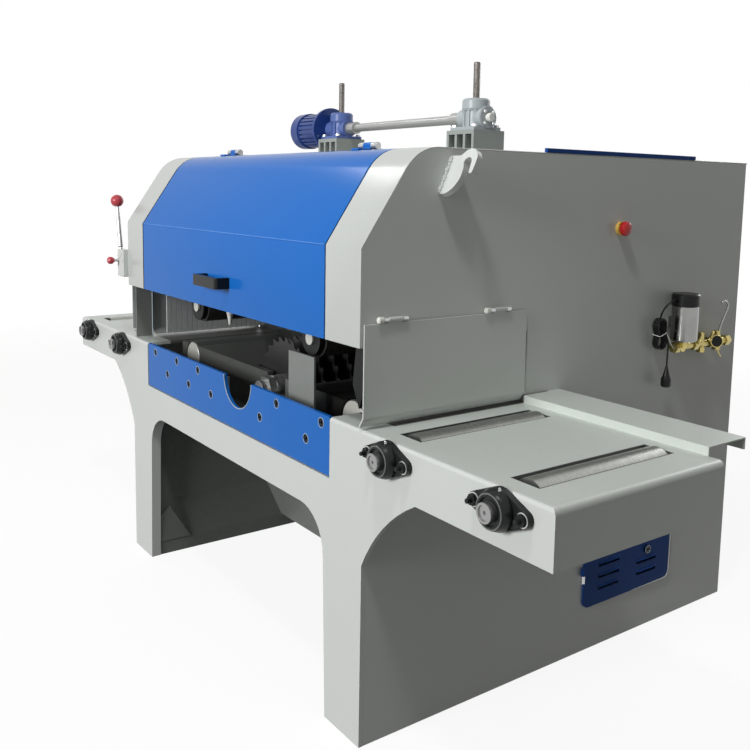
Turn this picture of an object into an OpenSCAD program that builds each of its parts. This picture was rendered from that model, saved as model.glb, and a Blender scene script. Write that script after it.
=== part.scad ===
// Multi rip saw: a floor machine that rips boards into strips on one arbor of saw blades.
// X runs along the feed, +X at the infeed table, the operator stands at -Y, Z is up from the floor.
// Lengths are millimetres. Depths named *_y are measured back from the face of the front plate.

/* [Frame] */
// Length of the body over its two end plates
body_l = 1464; // [1300:2:1700]
// Depth of the body from the front plate to the back panel
body_d = 1476; // [1300:2:1700]
// Height of the roof over the hood's lower edge
hood_h = 458; // [430:2:580]
// Thickness of the front plate
front_t = 12; // [8:1:16]
// Thickness of the end plates, inner walls and back panel
wall_t = 6; // [4:1:10]
// Width of a front leg at the floor
leg_w = 153; // [120:1:180]
// Depth of the front plate from the table tops to the crown of the arch
rail_h = 250; // [230:2:290]
// Radius of the arch corners
arch_r = 110; // [60:5:150]
// Depth of the chip bay behind the arch
bay_d = 588; // [560:2:640]

/* [Tables] */
// Height of the table tops
table_h = 780; // [760:2:800]
// Length over both tables
table_l = 2642; // [2500:2:2800]
// Width of a table from the front plate's face to its rear edge
table_w = 508; // [500:2:540]
// Thickness of the table plate
table_t = 10; // [6:1:14]
// Height of the folded table edge
wing_h = 118; // [108:2:140]
// Bend radius at the outer end of a table
bend_r = 14; // [8:1:20]
// Width of the guide ledge behind a table
fence_w = 138; // [100:2:150]
// Height of the guide ledge over the table
fence_h = 20; // [14:1:30]
// Sheet thickness of the guide ledge
fence_t = 4; // [3:1:6]

/* [Table rollers] */
// Place of the inner rollers, as part of the way from an end plate to the table's outer end
inner_roller_at = 0.1749; // [0.16:0.0001:0.22]
// Place of the outer rollers on the same way
outer_roller_at = 0.7776; // [0.7:0.0001:0.8]
// Radius of a table roller
roller_r = 44.5; // [42:0.5:46]
// How far a roller stands above its table
roller_proud = 6.5; // [3:0.5:9]
// Radius of the roller shafts
roller_shaft_r = 17.5; // [15:0.5:20]
// Distance between the two bolts of a flange bearing
bearing_pitch = 130; // [122:1:140]
// Radius of the bearing boss
bearing_r = 42; // [38:1:44]
// How far a bearing stands out of the plate
bearing_h = 36; // [32:1:37]

/* [Hood] */
// Height of the lower edge of the hood over the table tops
hood_gap = 192; // [180:2:210]
// Part of the hood's height that stands upright, up to the crease
hood_upright = 0.4935; // [0.42:0.0005:0.55]
// How far the hood stands in front of the front plate
hood_out = 13; // [6:1:25]
// Angle between the leaning face and the vertical
hood_lean = 34; // [28:1:38]
// Radius of the bend from the leaning face to the roof
hood_r = 118; // [80:2:140]
// Width of the fixed strip at each end of the hood
strip_w = 151; // [120:1:180]
// Sheet thickness of the hood
hood_t = 3; // [2:0.5:5]
// Gap between the door and the strips
door_gap = 4.5; // [1:0.5:6]
// Distance of the door hinge line behind the bend to the roof
hinge_back = 36.8; // [30:0.1:50]
// Outer radius of the door hinge knuckles
hinge_r = 9.5; // [9:0.5:12]
// Distance of each door hinge from the middle
hinge_x = 395; // [300:1:450]
// Length of the door's own knuckle
knuckle_l = 34; // [26:1:60]
// Length of the door handle
handle_l = 156; // [120:1:200]
// Height of the middle of the door handle over the hood's lower edge
handle_up = 84; // [60:1:140]

/* [Saw] */
// Distance of the arbor from the middle, towards the infeed
arbor_x = 95; // [60:1:120]
// Depth of the arbor under the table tops
arbor_drop = 40; // [36:1:50]
// Radius of the arbor under the blades
arbor_r = 27.5; // [22:0.5:30]
// Radius of the spacer collars
spacer_r = 37.5; // [34:0.5:39]
// Radius of a saw blade over its teeth
blade_r = 150; // [130:1:155]
// Thickness of a saw blade
blade_t = 3.2; // [2:0.1:4.5]
// Number of blades
blade_n = 6; // [2:1:7]
// Distance from blade to blade
blade_pitch = 50; // [20:1:50]
// Number of teeth on a blade
tooth_n = 24; // [16:2:32]

/* [Feed] */
// Distance of the feed rollers from the middle
feed_x = 500; // [490:1:520]
// Radius of the feed rollers
feed_r = 52; // [48:1:56]
// Distance of the press rollers and lifting screws from the middle
press_x = 360; // [330:1:390]
// Radius of the press rollers
press_r = 52; // [44:1:54]
// Height of the press roller axis over the table tops at rest
press_gap = 152; // [148:1:160]
// Radius of the lifting screws
screw_r = 10; // [8:0.5:14]
// Depth of the lifting screws behind the front plate
screw_y = 650; // [648:1:700]
// Height of the lifting screws' upper ends over the roof
screw_rise = 273; // [240:1:330]
// Height of the cross shaft over the roof
shaft_rise = 111; // [105:1:125]
// Number of kickback fingers
finger_n = 22; // [12:1:22]
// Thickness of a kickback finger
finger_t = 14; // [8:1:16]

/* [Fittings] */
// Radius of the emergency stop's mushroom
stop_r = 20; // [15:0.5:25]
// Width of the vent door
vent_w = 398; // [340:2:440]
// Height of the vent door
vent_h = 287; // [240:1:320]
// Radius of the ball on the feed lever
ball_r = 22.5; // [16:0.5:22.5]
// Radius of the pump can
can_r = 39; // [34:0.5:44]
// Height of the pump can without its cap
can_h = 106; // [90:1:130]
// Diameter of the pump's mains cord
cord_d = 5; // [4:0.5:5]
// Number of loops in the hank
hank_n = 4; // [3:1:4]

/* [Hidden] */
$fn = 48;
// Clearance of a turning shaft in its bore
run = 0.05;
// Gap between pieces that pass each other
slack = 1;
half_l = body_l / 2;
table_x = table_l / 2;
inner_roller_x = half_l + inner_roller_at * (table_x - half_l);
outer_roller_x = half_l + outer_roller_at * (table_x - half_l);
// The lever's pull knob is the foremost point, and the origin lies midway between it and the back
lever_out = 30;
pin_reach = 40;
front_reach = lever_out + pin_reach;
front_y = -(body_d - front_reach) / 2;
wing_z = table_h - wing_h;
arch_h = table_h - rail_h;
arbor_z = table_h - arbor_drop;
// Heights of the hood, and the depth at which its bend meets the roof
hood_z = table_h + hood_gap;
body_h = hood_z + hood_h;
crease_z = hood_z + hood_upright * hood_h;
bend_y = -hood_out + tan(hood_lean) * (body_h - crease_z) + hood_r * tan((90 - hood_lean) / 2);
hinge_y = bend_y + hinge_back;
handle_z = hood_z + handle_up;
press_z = table_h + press_gap;
screw_top = body_h + screw_rise;
recess_x = half_l - 141;
recess_z = table_h - 152;
panel_h = 148;
panel_gap = 4;
panel_t = 10;
roller_z = table_h + roller_proud - roller_r;
bay_y = front_t + bay_d;
wall_back = bay_y + wall_t;
door_x = half_l - strip_w;
roof_t = 4;
// Height of the door's hinge line over the roof
hinge_up = 13;
hinge_z = body_h + hinge_up;
pin_r = 5;
notch_r = 85;
bed_top = table_h - 2;
bed_t = 10;
bed_y = 130;
bed_x = recess_x - 2;
shaft_z = body_h + shaft_rise;
// How far the press frame goes down and up from rest
press_down = 70;
press_up = 30;
// Depth of the press frame's front end
beam_y0 = 86;
beam_w = 60;
beam_z = press_z + 58;
beam_h = 60;
flap_t = 4;
flap_x = half_l + 3;
flap_top = hood_z + 54;
vent_y = 779;
vent_z = 133;
pump_y = 1128;
pump_x = half_l + 46;
cap_top = table_h + 258;
cap_h = 36;
lever_x = half_l + 46;
lever_z = hood_z + 68;
finger_x = half_l - 92;
finger_z = hood_z + 28;

// Paint and metal colours
cream = [0.80, 0.82, 0.81];
blue = [0.20, 0.42, 0.80];
navy = [0.10, 0.16, 0.36];
dark = [0.16, 0.17, 0.18];
steel = [0.70, 0.71, 0.73];
red = [0.78, 0.10, 0.10];
gold = [0.72, 0.60, 0.28];

// Moves a piece from the front plate's own frame to the machine's frame
module seat() translate([0, front_y, 0]) children();
// An outline in x and z, extruded back from depth y
module slab_xz(y, t) translate([0, y + t, 0]) rotate([90, 0, 0]) linear_extrude(t) children();
// An outline in y and z, extruded along x
module slab_yz(x, t) translate([x, 0, 0]) rotate([90, 0, 90]) linear_extrude(t) children();
// A bar along the depth and a bar along the feed
module bar_y(y, l, r) translate([0, y, 0]) rotate([-90, 0, 0]) cylinder(h = l, r = r);
module bar_x(x, l, r) translate([x, 0, 0]) rotate([0, 90, 0]) cylinder(h = l, r = r);
// A box given by its lowest and highest corner
module block(a, b) translate(a) cube(b - a);
// The piece and its mirror image at the other end of the machine
module both() { children(); mirror([1, 0, 0]) children(); }

// Points along an arc about c
function arc(c, r, a0, a1, n = 8) = [for (i = [0:n]) c + r * [cos(a0 + (a1 - a0) * i / n), sin(a0 + (a1 - a0) * i / n)]];
// The same outline mirrored in x, in reverse order
function flipped(p) = [for (i = [len(p) - 1:-1:0]) [-p[i].x, p[i].y]];
function reversed(p) = [for (i = [len(p) - 1:-1:0]) p[i]];
// Points from p to q along a bow that rises s to the left of the chord
function bow(p, q, s, n = 8) =
    let (chord = norm(q - p), r = (chord * chord / 4 + s * s) / (2 * s), along = (q - p) / chord,
        left = [-along.y, along.x], c = (p + q) / 2 - left * (r - s), half = asin(chord / 2 / r))
    [for (i = [0:n]) let (a = -half + 2 * half * i / n) c + r * (along * sin(a) + left * cos(a))];

// Outline of two or three round lobes joined by their common tangents, lobe by lobe along x
module tangent_pair(d, r1, r2) {
    a = acos((r1 - r2) / d);
    circle(r = r1);
    translate([d, 0]) circle(r = r2);
    polygon([r1 * [cos(a), sin(a)], [d, 0] + r2 * [cos(a), sin(a)], [d, 0] + r2 * [cos(a), -sin(a)], r1 * [cos(a), -sin(a)]]);
}

// Front frame

// Side view of the hood from its lower edge over the crease and the bend to the roof, set in by i
crease_in = tan(hood_lean / 2);
lean_c = [bend_y, body_h - hood_r];
function hood_path(i) = concat([[-hood_out + i, hood_z], [-hood_out + i, crease_z - i * crease_in]],
    arc(lean_c, hood_r - i, 180 - hood_lean, 90));

// Half of the arch from its crown to the floor, set out into the leg by i
arch_draw = 14;
// Curved gusset of the front plate under each table
gusset_l = 196;
gusset_h = 205;
gusset_bow = 22;
function arch_path(i) = concat(arc([half_l - leg_w - arch_draw - arch_r, arch_h - arch_r], arch_r + i, 90, 0), [[half_l - leg_w + i, 0]]);
right_half = concat(arch_path(0), [[half_l, 0]],
    bow([half_l, wing_z - gusset_h], [half_l + gusset_l, wing_z], gusset_bow),
    [[table_x, wing_z]],
    arc([table_x - bend_r, table_h - bend_r], bend_r, 0, 90),
    [[recess_x, table_h], [recess_x, recess_z]]);

// The plate is folded back all along the arch
arch_fold = 22;
module front_plate() color(cream) seat() difference() {
    union() {
        slab_xz(0, front_t) polygon(concat(right_half, flipped(right_half)));
        slab_xz(front_t - slack, arch_fold) polygon(concat(arch_path(0), [[half_l - leg_w + wall_t, 0]], reversed(arch_path(wall_t)),
            flipped(concat(arch_path(0), reversed(arch_path(wall_t))))));
    }
    both() for (x = [inner_roller_x, outer_roller_x])
        translate([x, 0, roller_z]) bar_y(-slack, front_t + 2 * slack, roller_shaft_r + 8);
    both() edge_round(recess_x, table_x - recess_x, front_t - 3);
}
// A cut that rounds the front upper edge of a table
module edge_round(x, l, r) translate([x - slack, 0, table_h]) rotate([90, 0, 90]) linear_extrude(l + 2 * slack)
    difference() {
        translate([-slack, -r]) square([r + slack, r + slack]);
        translate([r, -r]) circle(r = r);
    }

// End plates reach from the floor to the roof and are open where boards pass
end_outline = concat([[front_t, 0], [body_d - wall_t, 0], [body_d - wall_t, body_h - roof_t]],
    reversed(concat(hood_path(hood_t), [[hinge_y, body_h - hood_t], [hinge_y, body_h - roof_t]])), [[front_t, hood_z]]);
mouth_y = table_w + 9;
// An end plate whose mouth for the boards starts behind a post of this depth
module end_plate(post) difference() {
    slab_yz(half_l - wall_t, wall_t) polygon(end_outline);
    block([half_l - wall_t - slack, front_t - slack, table_h - table_t], [half_l + slack, mouth_y, table_h]);
    block([half_l - wall_t - slack, post, table_h - slack], [half_l + slack, mouth_y, hood_z + (post > front_t ? -4 : 0)]);
    children();
}
post_y = 72;
module end_plate_right() color(cream) seat() end_plate(front_t - slack) {
    block([half_l - wall_t - slack, vent_y + 20, vent_z + 20],
        [half_l + slack, vent_y + vent_w - 20, vent_z + vent_h - 20]);
}
module end_plate_left() color(cream) seat() mirror([1, 0, 0]) end_plate(post_y);

louvre_x = [180, 380];
louvre_w = 150;
louvre_h = 12;
louvre_z = 420;
louvre_n = 6;
louvre_pitch = 32;
module back_panel() color(cream) seat() difference() {
    block([-half_l + wall_t, body_d - wall_t, 0], [half_l - wall_t, body_d, body_h - roof_t]);
    both() for (x = louvre_x, i = [0:louvre_n - 1]) slab_xz(body_d - wall_t - slack, wall_t + 2 * slack)
        translate([x - louvre_w / 2, louvre_z + louvre_pitch * i]) slot(louvre_w, louvre_h);
}
// A slot with round ends, from its left end at half height
module slot(l, w) {
    translate([w / 2, -w / 2]) square([l - w, w]);
    for (x = [w / 2, l - w / 2]) translate([x, 0]) circle(r = w / 2);
}

// Windows for the press beams, with this clearance all round their travel
beam_gap = 8;
module chamber_wall() color(cream) seat() difference() {
    block([-half_l + wall_t, bay_y, 0], [half_l - wall_t, wall_back, body_h - roof_t]);
    both() block([press_x - beam_w / 2 - beam_gap, bay_y - slack, beam_z - press_down - beam_gap],
        [press_x + beam_w / 2 + beam_gap, wall_back + slack, beam_z + beam_h + press_up + beam_gap]);
    translate([arbor_x, 0, arbor_z]) bar_y(bay_y - slack, wall_t + 2 * slack, housing_r);
}
// Inner plates: the sides of the chip bay with the sloping chip chute between them, the chip gutter with its
// front rail and a shield that stands in it before the infeed press roller, and the two rails under the motor
bay_x = half_l - 126;
bay_top = recess_z - 30;
web_y = front_t + arch_fold + 2;
web_l = 113;
web_h = 125;
web_back = 34;
web_low = 96;
// The foot of a bay side leans in towards the bay and ends in an upright strip
kick_z = 195;
kick_foot = 50;
kick_out = 24;
// The chute hangs from behind the gutter back and down to its lower edge
chute_y = 533;
chute_z = 50;
chute_top = 545;
chute_lean = 22;
chute_run = (chute_top - chute_z) * tan(chute_lean);
kick_x = bay_x - kick_out;
gutter_z = table_h - 140;
rail_drop = 40;
notch_free = notch_r + 4;
shield_x = press_x - 89;
shield_w = 133;
shield_y = beam_y0 - 16;
shield_t = 6;
shield_top = table_h + 108;
module inner_plates() color(cream) seat() {
    both() bay_side();
    slab_yz(-bay_x, 2 * bay_x) polygon([[chute_y, chute_z], [chute_y + wall_t, chute_z], [chute_y + wall_t - chute_run, chute_top], [chute_y - chute_run, chute_top]]);
    block([-bed_x, front_t, gutter_z], [bed_x, bed_y, gutter_z + bed_t]);
    for (x = [[-bed_x, arbor_x - notch_free], [arbor_x + notch_free, bed_x]])
        block([x[0], front_t, gutter_z - rail_drop], [x[1], front_t + bed_t, bed_top - bed_t]);
    block([shield_x, shield_y, gutter_z], [shield_x + shield_w, shield_y + shield_t, shield_top]);
    for (y = motor_rail_y) block([-half_l + wall_t, y, rail_z], [half_l - wall_t, y + motor_rail, rail_z + motor_rail]);
}
module bay_side() {
    block([bay_x, front_t, kick_z - slack], [bay_x + wall_t, bay_y, bay_top]);
    slab_xz(web_y, bay_y - web_y) polygon([[bay_x, kick_z], [kick_x, kick_foot], [kick_x, 0], [kick_x + wall_t, 0],
        [kick_x + wall_t, kick_foot], [bay_x + wall_t, kick_z]]);
    slab_yz(kick_x - wall_t / 2, wall_t) polygon([[web_y, kick_foot - slack], [web_y + web_l, kick_foot - slack],
        [web_y + web_back, kick_foot + web_h], [web_y, kick_foot + web_low]]);
}

roof_y = hinge_y + 4;
module roof_panel() color(cream) seat() difference() {
    block([-half_l, roof_y, body_h - roof_t], [half_l, body_d, body_h]);
    both() translate([press_x, screw_y, body_h - roof_t - slack]) cylinder(h = roof_t + 2 * slack, r = screw_r + 6);
}

// Bent sheet of the hood between two distances from the middle, ending on the roof at depth y
module hood_sheet(x0, x1, y, t) slab_yz(x0, x1 - x0)
    polygon(concat(hood_path(0), [[y, body_h], [y, body_h - t]], reversed(hood_path(t))));
strip_lip = 24;
module hood_strips() color(cream) seat() both() {
    hood_sheet(door_x + door_gap, half_l, hinge_y, hood_t);
    slab_yz(door_x + door_gap, hood_t) polygon(concat(hood_path(hood_t),
        [[hinge_y, body_h - hood_t], [hinge_y, body_h - strip_lip]], reversed(hood_path(strip_lip))));
}

// Tables

slot_half = 36;
slot_y0 = 58;
slot_y1 = 463;
module table() difference() {
    union() {
        slab_xz(front_t, table_w - front_t) polygon(concat([[recess_x, table_h - table_t], [recess_x, table_h]],
            arc([table_x - bend_r, table_h - bend_r], bend_r, 90, 0), [[table_x, wing_z], [table_x - table_t, wing_z]],
            arc([table_x - bend_r, table_h - bend_r], bend_r - table_t, 0, 90)));
        block([half_l + 8, table_w - table_t, wing_z], [table_x - table_t / 2, table_w, table_h - table_t / 2]);
    }
    for (x = [inner_roller_x, outer_roller_x]) {
        block([x - slot_half, slot_y0, table_h - table_t - slack], [x + slot_half, slot_y1, table_h + slack]);
        translate([x, 0, roller_z]) bar_y(table_w - table_t - slack, table_t + 2 * slack, roller_shaft_r + 4);
    }
}
module table_right() color(cream) seat() table();
module table_left() color(cream) seat() mirror([1, 0, 0]) table();

fence_end = table_x - 39;
module fences() color(cream) seat() both() slab_yz(half_l, fence_end - half_l) polygon([
    [table_w, table_h - 40], [table_w, table_h + fence_h], [table_w + fence_w, table_h + fence_h],
    [table_w + fence_w, table_h - 8], [table_w + fence_w - fence_t, table_h - 8],
    [table_w + fence_w - fence_t, table_h + fence_h - fence_t], [table_w + fence_t, table_h + fence_h - fence_t],
    [table_w + fence_t, table_h - 40]]);

// Bed between the tables: a skirt behind the chip gutter and the top under the boards
feed_z = table_h + roller_proud - feed_r;
bed_slot = sqrt(feed_r * feed_r - pow(bed_top - bed_t - feed_z, 2)) + 4;
bed_gap = 16;
blade_gap = 10;
module bed_plate() color(dark) seat() difference() {
    slab_yz(-bed_x, 2 * bed_x) polygon([[bed_y, gutter_z], [bed_y, bed_top], [bay_y, bed_top],
        [bay_y, bed_top - bed_t], [bed_y + bed_t, bed_top - bed_t], [bed_y + bed_t, gutter_z]]);
    block([arbor_x - blade_r - blade_gap, blade_y0 - blade_gap, bed_top - bed_t - slack],
        [arbor_x + blade_r + blade_gap, blade_y1 + 39, bed_top + slack]);
    block([arbor_x - housing_r - 40, blade_y0 + 30, bed_top - bed_t - slack], [arbor_x + housing_r + 40, bay_y + slack, bed_top + slack]);
    block([arbor_x - spacer_r - bed_gap, bed_y - slack, arbor_z - spacer_r - bed_gap],
        [arbor_x + spacer_r + bed_gap, blade_y0 - blade_gap + slack, bed_top + slack]);
    both() {
        block([feed_x - bed_slot, bed_y + bed_t - slack, bed_top - bed_t - slack], [feed_x + bed_slot, feed_back + 8, bed_top + slack]);
        translate([feed_x, 0, feed_z]) bar_y(bed_y - slack, bed_t + 2 * slack, feed_r + 3);
    }
}

screw_upper = [-523, -341, -177, 324, 548];
screw_lower = [-419, -247, -83, 231, 476];
screw_row = [23, 81];
module at_panel_screws() {
    for (x = screw_upper) translate([x, 0, table_h - screw_row[0]]) children();
    for (x = screw_lower) translate([x, 0, table_h - screw_row[1]]) children();
}
panel_y = front_t - panel_t;
module arbor_panel() color(blue) seat() difference() {
    block([-recess_x + panel_gap, panel_y, table_h - panel_h], [recess_x - panel_gap, front_t, table_h]);
    translate([arbor_x, 0, table_h]) bar_y(panel_y - slack, panel_t + 2 * slack, notch_r);
    at_panel_screws() {
        bar_y(panel_y - slack, 6 + slack, 12);
        bar_y(panel_y, panel_t + slack, 6);
    }
}
module fasteners() color("black") seat() {
    at_panel_screws() difference() {
        union() { bar_y(panel_y + 1.5, 4.5, 10); bar_y(panel_y + 5, panel_t - 5, 6); }
        bar_y(panel_y, 5, 5, $fn = 6);
    }
    at_bearings() for (s = [-1, 1]) translate([s * bearing_pitch / 2, 0, 0]) rotate([90, 0, 0]) {
        translate([0, 0, flange_t]) cylinder(h = 9, r = 12, $fn = 6);
    }
}

// Flange bearings of the table rollers outside the front plate, and bushes inside each table's rear edge
flange_t = 13;
seal_w = 11;
seal_t = 5;
module at_bearings() both() for (x = [inner_roller_x, outer_roller_x]) translate([x, 0, roller_z]) children();
// One bearing with its face on y = 0, standing out along -y
module bearing() difference() {
    rotate([90, 0, 0]) {
        linear_extrude(flange_t) for (a = [0, 180]) rotate(a) tangent_pair(bearing_pitch / 2, bearing_r, 16);
        rotate_extrude() polygon([[0, 0], [bearing_r, 0], [bearing_r, flange_t + 6], [bearing_r - 5, bearing_h - 4],
            [bearing_r - 9, bearing_h], [roller_shaft_r + seal_w, bearing_h], [roller_shaft_r + seal_w, bearing_h - seal_t], [0, bearing_h - seal_t]]);
    }
    bar_y(-bearing_h - slack, bearing_h + 2 * slack, roller_shaft_r + run);
}
feed_flange = 5;
feed_housing_r = bed_top - bed_t - feed_z - feed_flange - slack / 2;
module bearing_housings() color(dark) seat() {
    at_bearings() bearing();
    at_bearings() difference() {
        bar_y(table_w - table_t - bearing_h, bearing_h, table_h - table_t - roller_z - slack);
        bar_y(table_w - table_t - bearing_h - slack, bearing_h + 2 * slack, roller_shaft_r + run);
    }
    both() translate([feed_x, 0, feed_z]) difference() {
        union() { bar_y(feed_back + 14, bay_y - feed_back - 14, feed_housing_r); bar_y(bay_y - 14, 14, feed_housing_r + feed_flange); }
        bar_y(feed_back, bay_y - feed_back - 20, feed_shaft_r + run);
    }
}

// Hood door, hinges and handle

door_edge = hinge_y - 12;
door_lip = 20;
module front_door() color(blue) seat() {
    difference() {
        union() {
            hood_sheet(-door_x, door_x, door_edge, hood_t);
            block([-door_x, -hood_out, hood_z], [door_x, -hood_out + door_lip, hood_z + hood_t]);
            both() slab_yz(door_x - hood_t, hood_t) polygon(concat(hood_path(hood_t / 2),
                [[door_edge, body_h - hood_t / 2], [door_edge, body_h - door_lip]], reversed(hood_path(door_lip))));
            both() slab_yz(hinge_x - knuckle_l / 2, knuckle_l) {
                translate([hinge_y, hinge_z]) circle(r = hinge_r);
                polygon([[hinge_y - 48, body_h], [door_edge, body_h], [hinge_y + 4, hinge_z - hinge_r + 2],
                    [hinge_y - 4, hinge_z], [door_edge, body_h + 5], [hinge_y - 48, body_h + 5]]);
            }
        }
        both() translate([0, hinge_y, hinge_z]) bar_x(hinge_x - knuckle_l / 2 - slack, knuckle_l + 2 * slack, pin_r + run);
    }
}
outer_knuckle = 22;
knuckle_gap = 0.5;
module hinge_mounts() color(steel) seat() {
    both() {
        translate([0, hinge_y, hinge_z]) bar_x(hinge_x - knuckle_l / 2 - knuckle_gap - outer_knuckle, knuckle_l + 2 * (knuckle_gap + outer_knuckle), pin_r);
        for (s = [-1, 1]) slab_yz(hinge_x + s * (knuckle_l / 2 + knuckle_gap + outer_knuckle / 2) - outer_knuckle / 2, outer_knuckle) {
            translate([hinge_y, hinge_z]) circle(r = hinge_r);
            polygon([[roof_y, body_h], [hinge_y + 48, body_h], [hinge_y + 48, body_h + 5], [hinge_y + 10, body_h + 5],
                [hinge_y + 6, hinge_z], [hinge_y - 4, hinge_z - hinge_r + 2]]);
        }
    }
    both() at_flap_hinges() {
        bar_y(-flap_lug - flap_knuckle / 2, flap_knuckle + 2 * flap_lug, flap_pin_r);
        for (s = [-1, 1]) translate([0, s * (flap_knuckle / 2 + flap_lug / 2 + knuckle_gap), 0]) {
            bar_y(-flap_lug / 2, flap_lug, flap_knuckle_r);
            block([half_l - flap_hinge_x, -flap_lug / 2, -flap_knuckle_r / 2], [0, flap_lug / 2, flap_knuckle_r / 2]);
        }
    }
    at_vent_hinges() {
        cylinder(h = 2 * vent_knuckle + knuckle_gap, r = flap_pin_r);
        cylinder(h = vent_knuckle, r = flap_knuckle_r);
        block([half_l - vent_hinge_x, -flap_knuckle_r, 0], [0, flap_knuckle_r / 2, vent_knuckle]);
    }
}
handle_out = 45;
handle_h = 32;
grip_t = 14;
module door_handle() color("black") seat() slab_handle();
module slab_handle() translate([0, -hood_out, handle_z - handle_h / 2]) linear_extrude(handle_h) difference() {
    translate([-handle_l / 2, -handle_out]) rounded([handle_l, handle_out], 10);
    translate([-handle_l / 2 + grip_t, -handle_out + grip_t]) square([handle_l - 2 * grip_t, handle_out]);
}
// A rectangle whose two corners at low y are round
module rounded(size, r) {
    translate([r, 0]) square([size.x - 2 * r, r]);
    translate([0, r]) square([size.x, size.y - r]);
    for (x = [r, size.x - r]) translate([x, r]) circle(r = r);
}

// A lifting hook: a plate that swells from a long foot on the end plate and ends in a nose that turns down
hook_t = 16;
hook_lean = 24;
hook_y = hinge_y - 29;
hook_z = body_h - 112;
hook_h = 98;
hook_foot = 18;
hook_belly = 20;
hook_eye = 13;
hook_arm = 15.5;
eye_out = 61;
eye_up = 80;
crown_up = 7;
nose_up = 58;
nose_r = 6;
nose_taper = 2;
nose_out = eye_out + hook_eye + nose_taper + nose_r;
crown_sweep = 130;
neck_out = 30;
crown_r = hook_eye + hook_arm;
hook_outline = concat([[0, 0]], bow([hook_foot, 0], [eye_out - hook_eye, eye_up], -hook_belly),
    arc([eye_out, eye_up], hook_eye, 180, 0), arc([nose_out, nose_up], nose_r, 180, 360),
    arc([eye_out, eye_up + crown_up], crown_r, 0, crown_sweep), [[neck_out, hook_h], [0, hook_h]]);
module lifting_hooks() color(steel) seat() both() translate([half_l, hook_y, hook_z]) rotate([-hook_lean, 0, 0])
    translate([0, hook_t / 2, 0]) rotate([90, 0, 0]) linear_extrude(hook_t) polygon(hook_outline);

// Lifting jacks on the roof

bracket_w = 120;
bracket_h = 74;
module jack_brackets() color(cream) seat() both() translate([press_x, screw_y, body_h]) difference() {
    union() {
        for (i = [0:3]) translate([-bracket_w / 2 + i * (bracket_w - 10) / 3, -bracket_w / 2, 0]) cube([10, bracket_w, bracket_h - 12]);
        translate([-bracket_w / 2, -bracket_w / 2, bracket_h - 12]) cube([bracket_w, bracket_w, 12]);
    }
    translate([0, 0, bracket_h - 12 - slack]) cylinder(h = 12 + 2 * slack, r = screw_r + 6);
}
gear_r = 40;
gear_top = 93;
boss_r = 29.5;
boss_l = 52;
motor_x = bracket_w / 2 + 4;
stub_r = 10;
foot_t = 10;
cap_z = 64;
rib_n = 12;
// A bevel gearbox: a square foot, a ribbed case with a round cap, and bosses along the shaft
module gearbox() difference() {
    union() {
        translate([-gear_r - 12, -gear_r - 12, 0]) cube([2 * gear_r + 24, 2 * gear_r + 24, foot_t]);
        cylinder(h = cap_z, r = gear_r - 5);
        for (i = [0:rib_n - 1]) rotate(360 / rib_n * (i + 0.5)) translate([gear_r - 8, -3, 0]) cube([7, 6, cap_z]);
        rotate_extrude() polygon([[0, cap_z - 6], [gear_r - 2, cap_z - 6], [gear_r + 1, cap_z], [gear_r + 1, gear_top - 6],
            [gear_r - 5, gear_top], [0, gear_top]]);
        translate([0, 0, shaft_rise - bracket_h]) bar_x(-boss_l, 2 * boss_l, boss_r);
    }
    translate([0, 0, -slack]) cylinder(h = gear_top + 2 * slack, r = screw_r + run);
    translate([0, 0, shaft_rise - bracket_h]) children();
}
module jack_gearbox_right() color(cream) seat() translate([press_x, screw_y, body_h + bracket_h]) {
    gearbox() bar_x(-boss_l - slack, 24 + slack, stub_r + run);
    translate([0, 0, shaft_rise - bracket_h]) bar_x(boss_l, 16, 12);
}
module jack_gearbox_left() color(navy) seat() translate([-press_x, screw_y, body_h + bracket_h]) {
    gearbox() bar_x(boss_l - 24, 24 + slack, stub_r + run);
    translate([0, 0, shaft_rise - bracket_h]) bar_x(-motor_x, motor_x - boss_l + 4, boss_r);
}

motor_r = 62;
motor_l = 190;
module jack_motor() color(navy) seat() translate([-press_x - motor_x, screw_y, shaft_z]) rotate([0, -90, 0]) {
    cylinder(h = 12, r = 78);
    translate([0, 0, 12]) cylinder(h = 20, r1 = 60, r2 = motor_r);
    translate([0, 0, 32]) difference() {
        cylinder(h = motor_l - 80, r = motor_r);
        for (a = [0:15:345]) rotate(a) translate([motor_r - 6, -3, 8]) cube([10, 6, motor_l - 96]);
    }
    translate([0, 0, motor_l - 48]) rotate_extrude() polygon([[0, 0], [motor_r + 4, 0], [motor_r + 4, 46], [motor_r - 6, 56], [0, 56]]);
}

tube_r = 14;
module cross_shaft() color(cream) seat() translate([0, screw_y, shaft_z]) {
    bar_x(-press_x + boss_l + slack + 44, 2 * (press_x - boss_l - slack - 44), tube_r);
    both() {
        bar_x(press_x - boss_l - slack - 46, 46, 21);
        bar_x(press_x - boss_l - slack - 2, 22, stub_r);
    }
}

module jack_screws() color(steel) seat() both() translate([press_x, screw_y, beam_z + beam_h])
    rotate_extrude() polygon([[0, 0], [screw_r + 12, 0], [screw_r + 12, 14], [screw_r, 20], [screw_r, screw_top - beam_z - beam_h - 2],
        [screw_r - 2, screw_top - beam_z - beam_h], [0, screw_top - beam_z - beam_h]]);

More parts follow.
